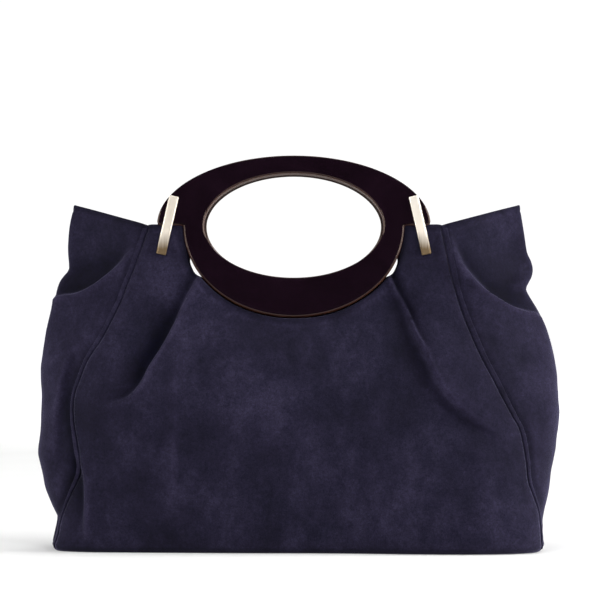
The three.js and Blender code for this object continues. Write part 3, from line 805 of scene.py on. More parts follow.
def gusset_sheet(name, side, face, outer_depth, inner_depth, spacing, foot=0.0, down=0.0, strip=None,
                 margin=SEAM_GAP, roundness=1.0, ruffle=1.0):
    """Half of a gusset, from a seam to the fold.

    It starts down below the mouth's edge, and reaches to a foot, or to a strip's depth below the edge.
    """
    low = length_of(foot) if foot else 0.0
    u = np.linspace(margin / GUSSET_RUN, 1, 120)
    top_s = length_of(wing_top(u) - down)
    foot_s = length_of(wing_top(u) - strip) if strip else np.full(u.shape, low)
    a = u * GUSSET_RUN

    def upright(k):
        return np.column_stack([np.full(300, a[k]), np.linspace(foot_s[k], top_s[k], 300)])

    outline = chain(
        even(np.stack([a, foot_s], -1), spacing),
        even(upright(-1), spacing),
        even(np.stack([a, top_s], -1)[::-1], spacing),
        even(upright(0)[::-1], spacing),
    )

    def inside(q, s, clear):
        share = q / GUSSET_RUN
        ceiling = length_of(wing_top(share) - down) - clear
        floor = length_of(wing_top(share) - strip) + clear if strip else low + clear
        return (q > a[0] + clear) & (q < a[-1] - clear) & (s < ceiling) & (s > floor)

    place, faces, rim = filled(outline, spacing, inside, fold_lines_on_gusset(side, face))
    u, s = place[:, 0] / GUSSET_RUN, place[:, 1]
    base, normals = surface(on_gusset, u, s, face, side, GUSSET_STEP)
    x, z = base[:, 0], base[:, 2]
    is_suede = ruffle == 1
    to_fold = 1 - smoothstep(u, FOLD_FLAT_FROM, 1.0)
    folds, ridge_highlight = folds_at(x, z, face)
    edge = wing_top(u) - z
    height = drape(x, z, face, folds) * ruffle * to_fold
    if is_suede:
        height = height + hem_height(edge)
    at_fold = u > 0.9999
    normals[at_fold] = unit(np.array([side, 0, 0]) + np.array([0, 0, 1]) * normals[at_fold][:, 2:3])
    outer, inner = (base + normals * (height - depth(z))[:, None] for depth in (outer_depth, inner_depth))
    level = s[rim] > length_of(wing_top(u[rim]) - down) - 0.02
    piece = closed_sheet(name, outer, inner, faces, rim, np.where(level, roundness, 0.0))
    # both halves share one direction of light along the fold
    given = np.array([tuple(v.normal) for v in piece.data.vertices])
    for offset, sign in ((0, 1), (len(outer), -1)):
        given[np.nonzero(at_fold)[0] + offset] = normals[at_fold] * sign
    piece.data.normals_split_custom_set_from_vertices(given.tolist())
    # painted shade in hollows, by the welts and at the base, and painted highlights on ridges
    if is_suede:
        paint_light_and_shade(piece, suede_light_and_shade(x, z, height, edge, ridge_highlight * to_fold), rim)
    return piece


def blend_with_handle(piece):
    """Bakes the cloth's placement into its mesh, and works out a weight, full at the tabs and none low down
    and at the folds, that nothing uses.
    """
    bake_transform(piece)
    co = np.array([tuple(v.co) for v in piece.data.vertices]) / MM
    weight = smoothstep(co[:, 2], HANDLE_MOVES_FROM, HANDLE_MOVES_TO)
    weight = weight * (1 - smoothstep(np.abs(co[:, 0]), WING_MOVES_TO, WING_STILL_FROM))


# ---------------------------------------------------------------- materials


class Nodes:
    """A short way to write the nodes of a new material, or of the world."""

    def __init__(self, owner):
        self.material = bpy.data.materials.new(owner) if isinstance(owner, str) else None
        owner = self.material or owner
        owner.use_nodes = True
        self.tree = owner.node_tree
        self.tree.nodes.clear()
        self.place = self.node("ShaderNodeTexCoord").outputs["Object" if self.material else "Generated"]
        if self.material:
            self.shader = self.node("ShaderNodeBsdfPrincipled")
            self.node("ShaderNodeOutputMaterial", {"Surface": self.shader.outputs["BSDF"]})

    def node(self, kind, inputs=None, **settings):
        """A node with its settings, and with its inputs joined to outputs or set to values."""
        made = self.tree.nodes.new(kind)
        for key, value in settings.items():
            setattr(made, key, value)
        for key, value in (inputs or {}).items():
            self.feed(made.inputs[key], value)
        return made

    def feed(self, socket, value):
        if isinstance(value, bpy.types.NodeSocket):
            self.tree.links.new(value, socket)
        else:
            socket.default_value = value

    def set(self, name, value):
        self.feed(self.shader.inputs[name], value)

    def stretched(self, scale=(1, 1, 1), rotation=(0, 0, 0)):
        inputs = {"Scale": scale, "Rotation": rotation, "Vector": self.place}
        return self.node("ShaderNodeMapping", inputs).outputs["Vector"]

    def noise(self, scale, detail=3.0, roughness=0.55, distortion=0.0, vector=None):
        inputs = {
            "Scale": scale, "Detail": detail, "Roughness": roughness, "Distortion": distortion,
            "Vector": vector or self.place,
        }
        return self.node("ShaderNodeTexNoise", inputs).outputs["Fac"]

    def value_of(self, attribute):
        """What paint() gave the piece's vertices."""
        return self.node("ShaderNodeAttribute", attribute_name=attribute).outputs["Fac"]

    def ramp(self, source, *stops):
        made = self.node("ShaderNodeValToRGB")
        elements = made.color_ramp.elements
        while len(elements) < len(stops):
            elements.new(0.5)
        for element, (position, colour) in zip(elements, stops):
            element.position = position
            element.color = (*colour, 1)
        self.feed(made.inputs["Fac"], source)
        return made.outputs["Color"]

    def to_range(self, source, low, high, start=0.0, end=1.0):
        inputs = {"From Min": start, "From Max": end, "To Min": low, "To Max": high, "Value": source}
        return self.node("ShaderNodeMapRange", inputs).outputs["Result"]

    def split(self, source, axis):
        return self.node("ShaderNodeSeparateXYZ", {"Vector": source}).outputs[axis]

    def math(self, operation, a, b):
        return self.node("ShaderNodeMath", {0: a, 1: b}, operation=operation).outputs["Value"]

    def mix(self, factor, a, b, blend="MIX"):
        made = self.node("ShaderNodeMix", data_type="RGBA", blend_type=blend)
        for name, value in (("Factor", factor), ("A", a), ("B", b)):
            socket = [i for i in made.inputs if i.name == name and i.enabled][0]
            self.feed(socket, (*value, 1) if isinstance(value, tuple) else value)
        return [o for o in made.outputs if o.enabled][0]

    def bump(self, height, distance, strength=1.0):
        inputs = {"Distance": distance, "Strength": strength, "Height": height}
        return self.node("ShaderNodeBump", inputs).outputs["Normal"]


def suede_material():
    made = Nodes("navy_suede")
    clouds = made.noise(17, 4, 0.6, 0.25)
    strokes = made.noise(60, 5, 0.75, 0.3, made.stretched((1, 1, 0.5), (0, 0.4, 0)))
    patches = made.noise(150, 4, 0.8, 0.2, made.stretched((0.7, 1, 1), (0, -0.6, 0)))
    fibre = made.noise(1500, 4, 0.8)
    brushed = made.noise(480, 5, 0.85, 0.2)
    brushed = made.ramp(brushed, (0.38, (0.68, 0.68, 0.71)), (0.62, (1.34, 1.34, 1.29)))
    tone = made.math("ADD", made.math("MULTIPLY", clouds, 0.45), made.math("MULTIPLY", strokes, 0.32))
    tone = made.math("ADD", tone, made.math("MULTIPLY", patches, 0.23))
    colour = made.ramp(
        tone,
        (0.38, (0.0048, 0.0038, 0.0120)),
        (0.50, (0.0100, 0.0081, 0.0220)),
        (0.62, (0.0200, 0.0167, 0.0390)),
    )
    speckle = made.ramp(fibre, (0.38, (0.70, 0.70, 0.72)), (0.62, (1.30, 1.30, 1.27)))
    # the painted shade and light (the tone) darkens and lightens all colours, but blue a little less
    tone = made.to_range(made.value_of("tone"), 0, 1, 0, 2)
    shade = made.mix(tone, (0.0, 0.0, 0.18), (2.0, 2.0, 1.82))
    colour = made.mix(1.0, made.mix(1.0, colour, brushed, "MULTIPLY"), speckle, "MULTIPLY")
    made.set("Base Color", made.mix(1.0, colour, shade, "MULTIPLY"))
    made.set("Roughness", made.to_range(fibre, 0.86, 1.0))
    made.set("Specular IOR Level", 0.15)
    made.set("Sheen Weight", 0.22)
    made.set("Sheen Roughness", 0.32)
    made.set("Sheen Tint", (0.58, 0.53, 0.95, 1))
    nap = made.math("ADD", fibre, made.math("MULTIPLY", strokes, 1.5))
    made.set("Normal", made.bump(nap, 0.0004, 0.55))
    return made.material


def facing_material():
    made = Nodes("smooth_leather")
    inputs = {"Scale": 900, "Vector": made.place}
    cells = made.node("ShaderNodeTexVoronoi", inputs, feature="DISTANCE_TO_EDGE")
    clouds = made.noise(60, 3, 0.5)
    made.set("Base Color", made.ramp(clouds, (0.35, (0.012, 0.010, 0.018)), (0.65, (0.020, 0.016, 0.028))))
    made.set("Roughness", made.to_range(clouds, 0.5, 0.68))
    made.set("Normal", made.bump(cells.outputs["Distance"], 0.0003, 0.5))
    return made.material


def woven_material(name, dark, light, threads):
    """A plain twill of fine threads."""
    made = Nodes(name)
    yarns = []
    for direction, scale, distortion in (("DIAGONAL", threads, 0.6), ("Z", threads * 1.3, 0.4)):
        inputs = {"Scale": scale, "Distortion": distortion, "Vector": made.place}
        yarns.append(made.node("ShaderNodeTexWave", inputs, bands_direction=direction).outputs["Fac"])
    weave = made.math("MULTIPLY", *yarns)
    clouds = made.noise(35, 3, 0.5)
    colour = made.mix(made.to_range(weave, 0.25, 1.0), dark, light)
    shade = made.ramp(clouds, (0.3, (0.8, 0.8, 0.8)), (0.7, (1.1, 1.1, 1.1)))
    made.set("Base Color", made.mix(1.0, colour, shade, "MULTIPLY"))
    made.set("Roughness", made.to_range(weave, 0.95, 0.75))
    made.set("Sheen Weight", 0.15)
    made.set("Normal", made.bump(weave, 0.0004, 0.6))
    return made.material


def resin_material():
    made = Nodes("dark_burgundy_resin")
    clouds = made.noise(22, 4, 0.6, 1.4)
    colour = made.ramp(
        clouds,
        (0.35, (0.0042, 0.0015, 0.0038)),
        (0.55, (0.0056, 0.0020, 0.0050)),
        (0.75, (0.0074, 0.0027, 0.0064)),
    )
    # painted glow: the thin rounded edges get a warm brown, as if light came through the resin there
    thin = made.value_of("thin")
    made.set("Base Color", made.mix(thin, colour, (0.052, 0.0170, 0.0085)))
    polish = made.to_range(made.noise(60, 3, 0.5, 2.0), 0.06, 0.11)
    made.set("Roughness", made.math("ADD", polish, made.to_range(thin, 0, 0.45, 0.5, 1.0)))
    made.set("IOR", 1.45)
    made.set("Specular Tint", (1.0, 0.74, 0.60, 1))
    made.set("Normal", made.bump(made.noise(30, 2, 0.5), 0.0004, 0.1))
    return made.material


FOOT_SHADE_FROM, FOOT_SHADE_TO = 0.2215, 0.2345  # heights between which the painted shade on the bars' feet clears, in metres


def metal_material(name, colour, worn, roughness, brushed=True, foot_shade=None):
    made = Nodes(name)
    hairs = made.noise(1500, 3, 0.6, 0, made.stretched((1, 1, 0.02) if brushed else (1, 1, 1)))
    patches = made.noise(40, 2, 0.4)
    metal = made.mix(made.to_range(patches, 0, 1, 0.35, 0.7), colour, worn)
    # painted shade: the metal turns darker bronze towards the bars' feet, with a streaked edge
    if foot_shade:
        streaks = made.math("MULTIPLY", made.math("SUBTRACT", hairs, 0.5), 0.006)
        height = made.math("ADD", made.split(made.place, "Z"), streaks)
        metal = made.mix(made.to_range(height, 0, 1, FOOT_SHADE_FROM, FOOT_SHADE_TO), foot_shade, metal)
    made.set("Base Color", metal)
    made.set("Metallic", 1.0)
    made.set("Roughness", made.to_range(hairs, roughness * 0.8, roughness * 1.35, 0.3, 0.7))
    made.set("Normal", made.bump(hairs, 0.00003, 0.25))
    return made.material


def board_material():
    made = Nodes("fibre_board")
    flecks = made.noise(500, 4, 0.7)
    made.set("Base Color", made.ramp(flecks, (0.35, (0.16, 0.12, 0.08)), (0.65, (0.28, 0.22, 0.15))))
    made.set("Roughness", made.to_range(flecks, 0.85, 1.0))
    made.set("Normal", made.bump(flecks, 0.0003, 0.5))
    return made.material


SUEDE_LOOK = suede_material()
LEATHER_LOOK = facing_material()
LINING_LOOK = woven_material("twill_lining", (0.060, 0.044, 0.034), (0.150, 0.115, 0.088), 420)
TAPE_LOOK = woven_material("zip_tape", (0.030, 0.024, 0.022), (0.075, 0.060, 0.052), 520)
RESIN_LOOK = resin_material()
BAR_LOOK = metal_material(
    "brushed_champagne_metal", (0.86, 0.78, 0.67), (0.95, 0.89, 0.80), 0.40,
    foot_shade=(0.17, 0.118, 0.066),
)
ZIP_LOOK = metal_material("zip_brass", (0.60, 0.44, 0.24), (0.50, 0.38, 0.22), 0.28, brushed=False)
STEEL_LOOK = metal_material("plated_steel", (0.58, 0.54, 0.48), (0.66, 0.62, 0.56), 0.25, brushed=False)
BOARD_LOOK = board_material()

# ---------------------------------------------------------------- shell

FINE, COARSE, LINING_SPACING = 1.6, 2.6, 3.6  # spacing of the meshes' points
PANEL_STEP = 0.25  # length over which a panel's slope is measured


def deep(depth):
    """A depth below the surface that is the same at all heights."""
    return lambda z: np.full(np.shape(z), float(depth))


def suede_inner(z):
    return SUEDE + (TAB - SUEDE) * smoothstep(z, TAB_FOOT, TAB_FOOT + 4)


def build_shell():
    for face, word in FACES:
        spacing = FINE if face == FRONT else COARSE
        panel = panel_sheet(f"{word}_suede_panel", face, deep(0), suede_inner, spacing)
        nodes = (f"{word}_panel", f"{word}_left_tab", f"{word}_right_tab")
        finish_piece(panel, SUEDE_LOOK, "suede", None, *nodes)
        blend_with_handle(panel)
        for side, hand in SIDES:
            half = gusset_sheet(f"{hand}_gusset_{word}_half", side, face, deep(0), deep(SUEDE), spacing)
            finish_piece(half, SUEDE_LOOK, "suede", None, f"{hand}_gusset")
            blend_with_handle(half)


WELT = {"start": 1.0, "width": 2.9, "proud": 0.75, "foot": 2.0, "top": 238.4, "across": 9, "tone": 1.04}
WELT_EDGE, WELT_UNDER = 0.3, 0.4  # how deep its edges and its underside lie in the suede


def build_welts():
    """Raised strips over the seams, with rounded edges."""
    s = np.arange(length_of(WELT["foot"]), length_of(WELT["top"]), 1.6)
    profile = np.linspace(0, math.pi, WELT["across"])
    lifts = WELT["proud"] * np.sin(profile) ** 0.5 - WELT_EDGE * (1 - np.sin(profile))
    stations = [*zip(profile, lifts), *((angle, -WELT_UNDER) for angle in profile[::-1][1:-1])]
    for face, word in FACES:
        for side, hand in SIDES:
            loops = []
            for angle, lift in stations:
                across = WELT["start"] + WELT["width"] * (0.5 - 0.5 * math.cos(angle))
                u = np.full(s.shape, across / GUSSET_RUN)
                base, normals = surface(on_gusset, u, s, face, side, GUSSET_STEP)
                height = drape(base[:, 0], base[:, 2], face)
                loops.append(base + normals * (height + lift)[:, None])
            points = np.stack(loops, 1).reshape(-1, 3)
            piece = new_mesh(f"{word}_{hand}_suede_welt", points, tube_faces(len(s), len(loops)))
            paint(piece, "tone", np.full(len(points), WELT["tone"]))
            finish_piece(piece, SUEDE_LOOK, "suede", None, f"{word}_{hand}_welt")
            blend_with_handle(piece)


# ---------------------------------------------------------------- lining and facings

LINING_DEPTH, LINING_DEPTH_TOP = 5.6, 4.3
LINING_STEP = (165, 195)  # heights between which one becomes the other
LINING_FOOT, LINING_TOP = 8.0, 214.0
LINING_NECK = 1.6  # how far the lining stops below the suede's neckline
RUFFLE = 0.9  # share of the suede's drape that the lining and the facings follow
FACING = {"depth": 2.4, "thickness": 1.2, "height": 20.0, "down": 0.8}


def lining_depth(z):
    return LINING_DEPTH + (LINING_DEPTH_TOP - LINING_DEPTH) * smoothstep(z, *LINING_STEP)


def lining_inner(z):
    return lining_depth(z) + LINING


ZIP = {
    "half_length": 75.0, "z": 100.0, "tape_in": 55.3, "tape_out": 56.2, "tape_edge": 6.5, "split": 0.2,
    "lining_in": 56.4, "lining_out": 57.4, "chain_in": 53.4, "chain_out": 54.9, "chain_half_length": 73.0,
    "tooth": (0.95, 2.9), "pitch": 1.25, "stagger": 0.7, "fade": 8,
}
POCKET = {"half_width": 84.0, "foot": 30.0, "top": 110.0, "out": 3.2, "in": 4.0}


def zip_calm(x, z):
    """1 where the inner pocket's zip keeps the lining flat."""
    length, fade = ZIP["half_length"], ZIP["fade"]
    across = 1 - smoothstep(np.abs(x), length, length + fade)
    return across * (1 - smoothstep(np.abs(z - ZIP["z"]), fade, 2 * fade))


def build_pocket_cloth():
    """The pocket's back cloth, between the lining and the back panel."""
    half, low, high = POCKET["half_width"], length_of(POCKET["foot"]), length_of(POCKET["top"])
    corners = [(-half, low), (half, low), (half, high), (-half, high), (-half, low)]
    outline = chain(*(even(pair, COARSE) for pair in zip(corners[:-1], corners[1:])))

    def inside(p, s, clear):
        return (np.abs(p) < half - clear) & (s > low + clear) & (s < high - clear)

    place, faces, rim = filled(outline, LINING_SPACING, inside)
    p, s = place.T
    base, normals = surface(on_panel, p, s, BACK, None, PANEL_STEP)
    height = drape(base[:, 0], base[:, 2], BACK)
    outer, inner = (base + normals * (height - POCKET[k])[:, None] for k in ("out", "in"))
    calm = zip_calm(base[:, 0], base[:, 2])
    thick = POCKET["in"] - POCKET["out"]
    inner[:, 1] = np.maximum(inner[:, 1], calm * (ZIP["lining_out"] + 0.2))
    outer[:, 1] = np.maximum(outer[:, 1], inner[:, 1] + thick)
    cloth = closed_sheet("pocket_cloth", outer, inner, faces, rim, np.full(len(rim), 0.5))
    finish_piece(cloth, LINING_LOOK, "lining", "bag", "pocket_back")


def build_zip_tapes():
    """Two woven tapes, with a soft ripple and rounded edges."""
    length = ZIP["half_length"]
    thick = (ZIP["tape_out"] - ZIP["tape_in"]) / 2
    middle = (ZIP["tape_out"] + ZIP["tape_in"]) / 2
    half = (ZIP["tape_edge"] - ZIP["split"]) / 2
    x = np.linspace(-length, length, 151)
    count = 28
    turn = np.linspace(0, 2 * math.pi, count, endpoint=False)
    across = np.sign(np.cos(turn)) * np.abs(np.cos(turn)) ** 0.45 * half
    inward = np.sign(np.sin(turn)) * np.abs(np.sin(turn)) ** 0.6 * (thick - 0.15)
    for name, sign in (("upper", 1), ("lower", -1)):
        centre = ZIP["z"] + sign * (ZIP["split"] + half)
        rows = []
        for at in x:
            ripple = 0.12 * math.sin(at * 0.21 + sign) * math.cos(at * 0.083)
            rows.append(np.column_stack([np.full(count, at), middle + ripple + inward, centre + across]))
        tape = new_mesh(f"{name}_zip_tape", np.concatenate(rows), tube_faces(len(x), count))
        finish_piece(tape, TAPE_LOOK, "zip_tape", "bag", f"zip_tape_{name}")


def build_zip_chain():
    """Chamfered metal teeth that mesh from both sides."""
    half_x, half_z = (v / 2 for v in ZIP["tooth"])
    points, faces = [], []
    teeth = int(2 * ZIP["chain_half_length"] / ZIP["pitch"])
    for k in range(teeth):
        x = (k - (teeth - 1) / 2) * ZIP["pitch"]
        z = ZIP["z"] + ZIP["stagger"] * (1 if k % 2 else -1)
        start = len(points)
        layers = ((ZIP["chain_out"], 1.0), (ZIP["chain_in"] + 0.35, 1.0), (ZIP["chain_in"], 0.72))
        for y, size in layers:
            for a, b in ((-1, -1), (1, -1), (1, 1), (-1, 1)):
                points.append((x + a * half_x * size, y, z + b * half_z * size))
        faces += [tuple(start + i for i in face) for face in tube_faces(len(layers), 4)]
    teeth_piece = new_mesh("zip_teeth", points, faces, smooth=False)
    finish_piece(teeth_piece, ZIP_LOOK, "zip_metal", "bag", "zip_chain")


def build_lining():
    for face, word in FACES:
        wall = panel_sheet(
            f"{word}_lining_wall", face, lining_depth, lining_inner, LINING_SPACING, foot=LINING_FOOT,
            extra=LINING_NECK, margin=1.5, top=LINING_TOP, roundness=0.6, ruffle=RUFFLE,
        )
        finish_piece(wall, LINING_LOOK, "lining", None, f"lining_{word}")
        blend_with_handle(wall)
        for side, hand in SIDES:
            cloth = gusset_sheet(
                f"{hand}_lining_{word}_half", side, face, lining_depth, lining_inner, LINING_SPACING,
                foot=LINING_FOOT, down=FACING["height"], margin=1.5, roundness=0.4, ruffle=RUFFLE,
            )
            finish_piece(cloth, LINING_LOOK, "lining", None, f"lining_{hand}")
            blend_with_handle(cloth)
            strip = gusset_sheet(
                f"{hand}_facing_{word}_half", side, face, deep(FACING["depth"]),
                deep(FACING["depth"] + FACING["thickness"]), COARSE, down=FACING["down"],
                strip=FACING["height"] - 0.5, margin=1.0, roundness=0.5, ruffle=RUFFLE,
            )
            finish_piece(strip, LEATHER_LOOK, "facing", None, f"{hand}_mouth_facing")
            blend_with_handle(strip)


BASE_SQUARE = 6.0  # squareness of the base's outline
PLATE_EDGE = 0.002  # share of a plate's size by which its rounded edge stands out


def outward_normals(outline):
    tangent = np.roll(outline, -1, axis=0) - np.roll(outline, 1, axis=0)
    return unit(np.stack([tangent[:, 1], -tangent[:, 0]], -1))


def base_outline(setback, count=220):
    """The rim of the base, seen from above, drawn in by a setback."""
    points = []
    for angle in np.linspace(0, 2 * math.pi, count, endpoint=False):
        side = RIGHT if math.cos(angle) >= 0 else LEFT
        face = FRONT if math.sin(angle) < 0 else BACK
        c, sn = abs(math.cos(angle)), abs(math.sin(angle))
        t = (c ** BASE_SQUARE + sn ** BASE_SQUARE) ** (-1 / BASE_SQUARE) * c
        edge = on_body(np.array([side]), np.array([min(t, 1.0)]), np.array([0.0]), np.array([face]))[0]
        points.append(edge[:2])
    points = np.array(points)
    return points - outward_normals(points) * setback


def plate_piece(name, outline, low, high):
    """A flat plate with a rounded edge."""
    shares = (0.0, 0.25, 0.5, 0.7, 0.85, 0.95, 1.0)
    stations = [(share, high) for share in shares]
    for angle in np.radians([30, 60, 90, 120, 150]):
        level = (high + low) / 2 + (high - low) / 2 * math.cos(angle)
        stations.append((1 + PLATE_EDGE * math.sin(angle), level))
    stations += [(share, low) for share in reversed(shares)]
    count = len(outline)
    rings = [np.column_stack([outline * share, np.full(count, level)]) for share, level in stations]
    points = np.concatenate([rings[0][:1], *rings[1:-1], rings[-1][:1]])
    return new_mesh(name, points, domed_faces(len(rings) - 2, count))


def build_base():
    panel = plate_piece("suede_base", base_outline(0.3), 0.15, SUEDE)
    paint(panel, "tone", np.full(len(panel.data.vertices), 0.9))
    finish_piece(panel, SUEDE_LOOK, "suede", "bag", "base_panel")
    floor_cloth = plate_piece("lining_floor", base_outline(6.5), 6.0, 7.0)
    finish_piece(floor_cloth, LINING_LOOK, "lining", "bag", "lining_base")


# ---------------------------------------------------------------- handles


def handle_points(x, d, w, face):
    """Points given across, inwards and up a handle's own plane."""
    x, d, w = np.broadcast_arrays(*(np.asarray(v, float) for v in (x, d, w)))
    y = PLANE_Y + d * math.cos(LEAN) + w * math.sin(LEAN)
    z = PLANE_Z - d * math.sin(LEAN) + w * math.cos(LEAN)
    return np.stack([x * -face, y * -face, z], -1)


def arc(centre, radius, start, end, count):
    angles = np.radians(np.linspace(start, end, count))
    return np.stack([centre[0] + radius * np.cos(angles), centre[1] + radius * np.sin(angles)], -1)


def mirrored(right):
    """A closed outline from its right half, which starts and ends on the middle line."""
    return np.concatenate([right, right[1:-1][::-1] * (-1, 1)])


def ring_outline():
    """The outer outline, anticlockwise from the bottom, with its ears' small rounded corners."""
    notch, corner = RING["ear_notch"], RING["ear_corner"]
    bowl_x, bowl_w = RING["bowl_half_width"], RING["bowl_depth"]
    crown_x, crown_w = RING["crown_half_width"], RING["crown_height"]
    low = np.linspace(-math.pi / 2, -math.asin(notch / bowl_w), 66)
    bowl = np.stack([bowl_x * np.cos(low), bowl_w * np.sin(low)], -1)
    notch_x = bowl[-1, 0] + notch
    high = np.linspace(math.asin(corner / crown_w), math.pi / 2, 72)
    crown = np.stack([crown_x * np.cos(high), crown_w * np.sin(high)], -1)
    corner_x = crown[0, 0] - corner
    concave = arc((notch_x, -notch), notch, 180, 90, 8)
    under = np.stack([np.linspace(notch_x, corner_x, 8), np.zeros(8)], -1)
    convex = arc((corner_x, corner), corner, -90, 0, 10)
    right = np.concatenate([bowl, concave[1:], under[1:], convex[1:], crown[1:]])
    return mirrored(right)


def build_ring(face, word):
    outline = ring_outline()
    normals = outward_normals(outline)
    along = run_of(outline[: len(outline) // 2 + 1])
    share = along / along[-1]
    angle = -math.pi / 2 + math.pi * share
    hole_size = (RING["hole_half_width"], RING["hole_half_height"])
    hole = mirrored(np.stack([np.cos(angle), np.sin(angle)], -1) * hole_size)
    hole_normals = outward_normals(hole)
    bevel, half = RING["bevel"], RING["thickness"] / 2
    turn = np.radians(np.linspace(0, 90, 7))
    rounding = [(bevel * (1 - math.cos(a)), half - bevel + bevel * math.sin(a)) for a in turn]
    loops = [(outline - normals * inset, depth) for inset, depth in rounding]
    outer_edge = outline - normals * bevel
    hole_edge = hole + hole_normals * bevel
    across = (0.012, 0.05, *np.linspace(0, 1, 9)[1:-1], 0.95, 0.988)
    loops += [(outer_edge * (1 - k) + hole_edge * k, half) for k in across]
    loops += [(hole + hole_normals * inset, depth) for inset, depth in reversed(rounding)]
    front_half = [handle_points(p[:, 0], -d, p[:, 1], face) for p, d in loops]
    back_half = [handle_points(p[:, 0], d, p[:, 1], face) for p, d in reversed(loops)]
    rings = np.array(front_half + back_half)
    count = len(outline)
    faces = band_faces(len(rings), count)
    last = (len(rings) - 1) * count
    faces += [(last + k, last + (k + 1) % count, (k + 1) % count, k) for k in range(count)]
    piece = new_mesh(f"{word}_resin_ring", rings.reshape(-1, 3), faces)
    # share of rounded edge and wall: where the resin paints its warm glow and is rougher
    edge = np.array([smoothstep(half - depth, 0, bevel) for _, depth in loops])
    paint(piece, "thin", np.repeat(np.concatenate([edge, edge[::-1]]), count))
    finish_piece(piece, RESIN_LOOK, "resin", f"{word}_handle", f"{word}_ring")


BAR_ANGLE = math.atan2(BAR["foot_x"] - BAR["top_x"], BAR["top_w"] - BAR["foot_w"])


def bar_inner(s):
    t = s / BAR["length"]
    rise = smoothstep(t, 0, BAR["rise_ends"])
    return BAR["on_tab"] + (BAR["on_ear"] - BAR["on_tab"]) * rise + BAR["bow"] * np.sin(np.pi * t)


def bar_to_plane(across, s, side):
    """From a bar's own frame to the ring's plane."""
    x = side * BAR["foot_x"] + across * math.cos(BAR_ANGLE) - side * s * math.sin(BAR_ANGLE)
    w = BAR["foot_w"] + side * across * math.sin(BAR_ANGLE) + s * math.cos(BAR_ANGLE)
    return x, w


def build_bar(name, node, side, face, word, inward):
    """A bowed strip of metal with chamfered edges. inward is 1 for the bar inside the bag."""
    half, thick, chamfer = BAR["width"] / 2, BAR["thickness"], BAR["chamfer"]
    soft = 0.12  # size of the small rounding under the edges, and rise of the slightly domed face
    inner = half - chamfer
    cut = chamfer * 0.3
    edge = [(half, soft), (half, thick - chamfer), (half - cut, thick - cut), (inner, thick)]
    top = [(a, thick + soft * (1 - (a / half) ** 2)) for a in np.linspace(inner, -inner, 7)[1:-1]]
    section = edge + top + [(-a, d) for a, d in reversed(edge)] + [(soft - half, 0), (half - soft, 0)]
    ends = [(0.0, 1.0), (cut, 0.55), (chamfer, 0.0)]
    length = BAR["length"]
    stations = ends + [(s, 0.0) for s in np.linspace(chamfer, length - chamfer, 26)[1:-1]]
    stations += [(length - s, k) for s, k in reversed(ends)]
    rows = []
    for s, pulled in stations:
        row = []
        for a, d in section:
            a = a * (1 - pulled * chamfer / half)
            d = min(d, thick - pulled * chamfer) if d > thick / 2 else d
            x, w = bar_to_plane(a, s, side)
            depth = float(bar_inner(np.array(s))) + d
            row.append(handle_points(x, depth * (1 if inward else -1), w, face))
        rows.append(row)
    piece = new_mesh(name, np.array(rows).reshape(-1, 3), tube_faces(len(rows), len(section)))
    piece.data.set_sharp_from_angle(angle=math.radians(28))
    look, slot = (STEEL_LOOK, "hardware") if inward else (BAR_LOOK, "bar_metal")
    finish_piece(piece, look, slot, f"{word}_handle", node)


def build_screw(name, node, s, side, face, word):
    """A turned screw with a domed, slotted head on the inner bar."""
    inner = float(bar_inner(np.array(s)))
    seat = inner + BAR["thickness"] + SCREW["seat"]
    head, radius = SCREW["head_radius"], SCREW["radius"]
    tip = -inner - SCREW["bite"]
    top = seat + SCREW["head_height"]
    outline = [
        (0, tip), (radius * 0.7, tip), (radius, tip + 0.4), (radius, seat), (head - 0.15, seat),
        (head, seat + 0.15), (head, seat + 0.5), (head * 0.93, seat + 0.78), (head * 0.75, top - 0.12),
        (head * 0.5, top), (head * 0.3, top), (0, top),
    ]
    segments = 40
    rows = []
    for r, y in outline:
        row = []
        for angle in np.linspace(0, 2 * math.pi, segments, endpoint=False):
            a, b = r * math.cos(angle), r * math.sin(angle)
            in_slot = y > seat + 0.4 and abs(a) < SCREW["slot"]
            x, w = bar_to_plane(a, s + b, side)
            row.append(handle_points(x, min(y, top - SCREW["slot_depth"]) if in_slot else y, w, face))
        rows.append(np.array(row))
    points = np.concatenate([[rows[0].mean(0)], *rows[1:-1], [rows[-1].mean(0)]])
    piece = new_mesh(name, points, domed_faces(len(outline) - 2, segments))
    piece.data.set_sharp_from_angle(angle=math.radians(35))
    finish_piece(piece, STEEL_LOOK, "hardware", f"{word}_handle", node)


def build_handles():
    for face, word in FACES:
        build_ring(face, word)
        for side, hand in SIDES:
            # handle_points turns the back handle round, so its sides change hands
            own = side * -face
            place = f"{word}_{hand}"
            build_bar(f"{place}_outer_clamp", f"{place}_bar", own, face, word, False)
            build_bar(f"{place}_inner_clamp", f"{place}_back_bar", own, face, word, True)
            for level, s in (("low", SCREW["from_end"]), ("high", BAR["length"] - SCREW["from_end"])):
                build_screw(f"{place}_{level}_slotted_screw", f"{place}_{level}_screw", s, own, face, word)


# ---------------------------------------------------------------- carried CAD nodes


CARRIED_LOOKS = {
    "base_board": BOARD_LOOK, "snap_stud": STEEL_LOOK, "snap_socket": STEEL_LOOK,
    "zip_slider": ZIP_LOOK, "zip_pull": ZIP_LOOK,
}


def dress_cad_nodes():
    for name, look in CARRIED_LOOKS.items():
        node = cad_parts[name]
        if not node.material_slots:
            node.data.materials.append(look)
        for material_slot in node.material_slots:
            material_slot.material = look


# ---------------------------------------------------------------- stage

FLOOR_HALF = 15.0
FLOOR_GLOW = {"near": 0.20, "far": 1.0, "from": 1.2, "to": 3.0}  # it rises with the distance, in metres
# a white room that is dark in front of the bag, as seen by its own reflections
WORLD = {"front": 0.04, "back": 0.7, "edge": 0.6, "full": 0.95, "seen": 1.05}
AT_BAG, AT_HANDLES = (0, 0, 0.12), (0, 0, 0.24)
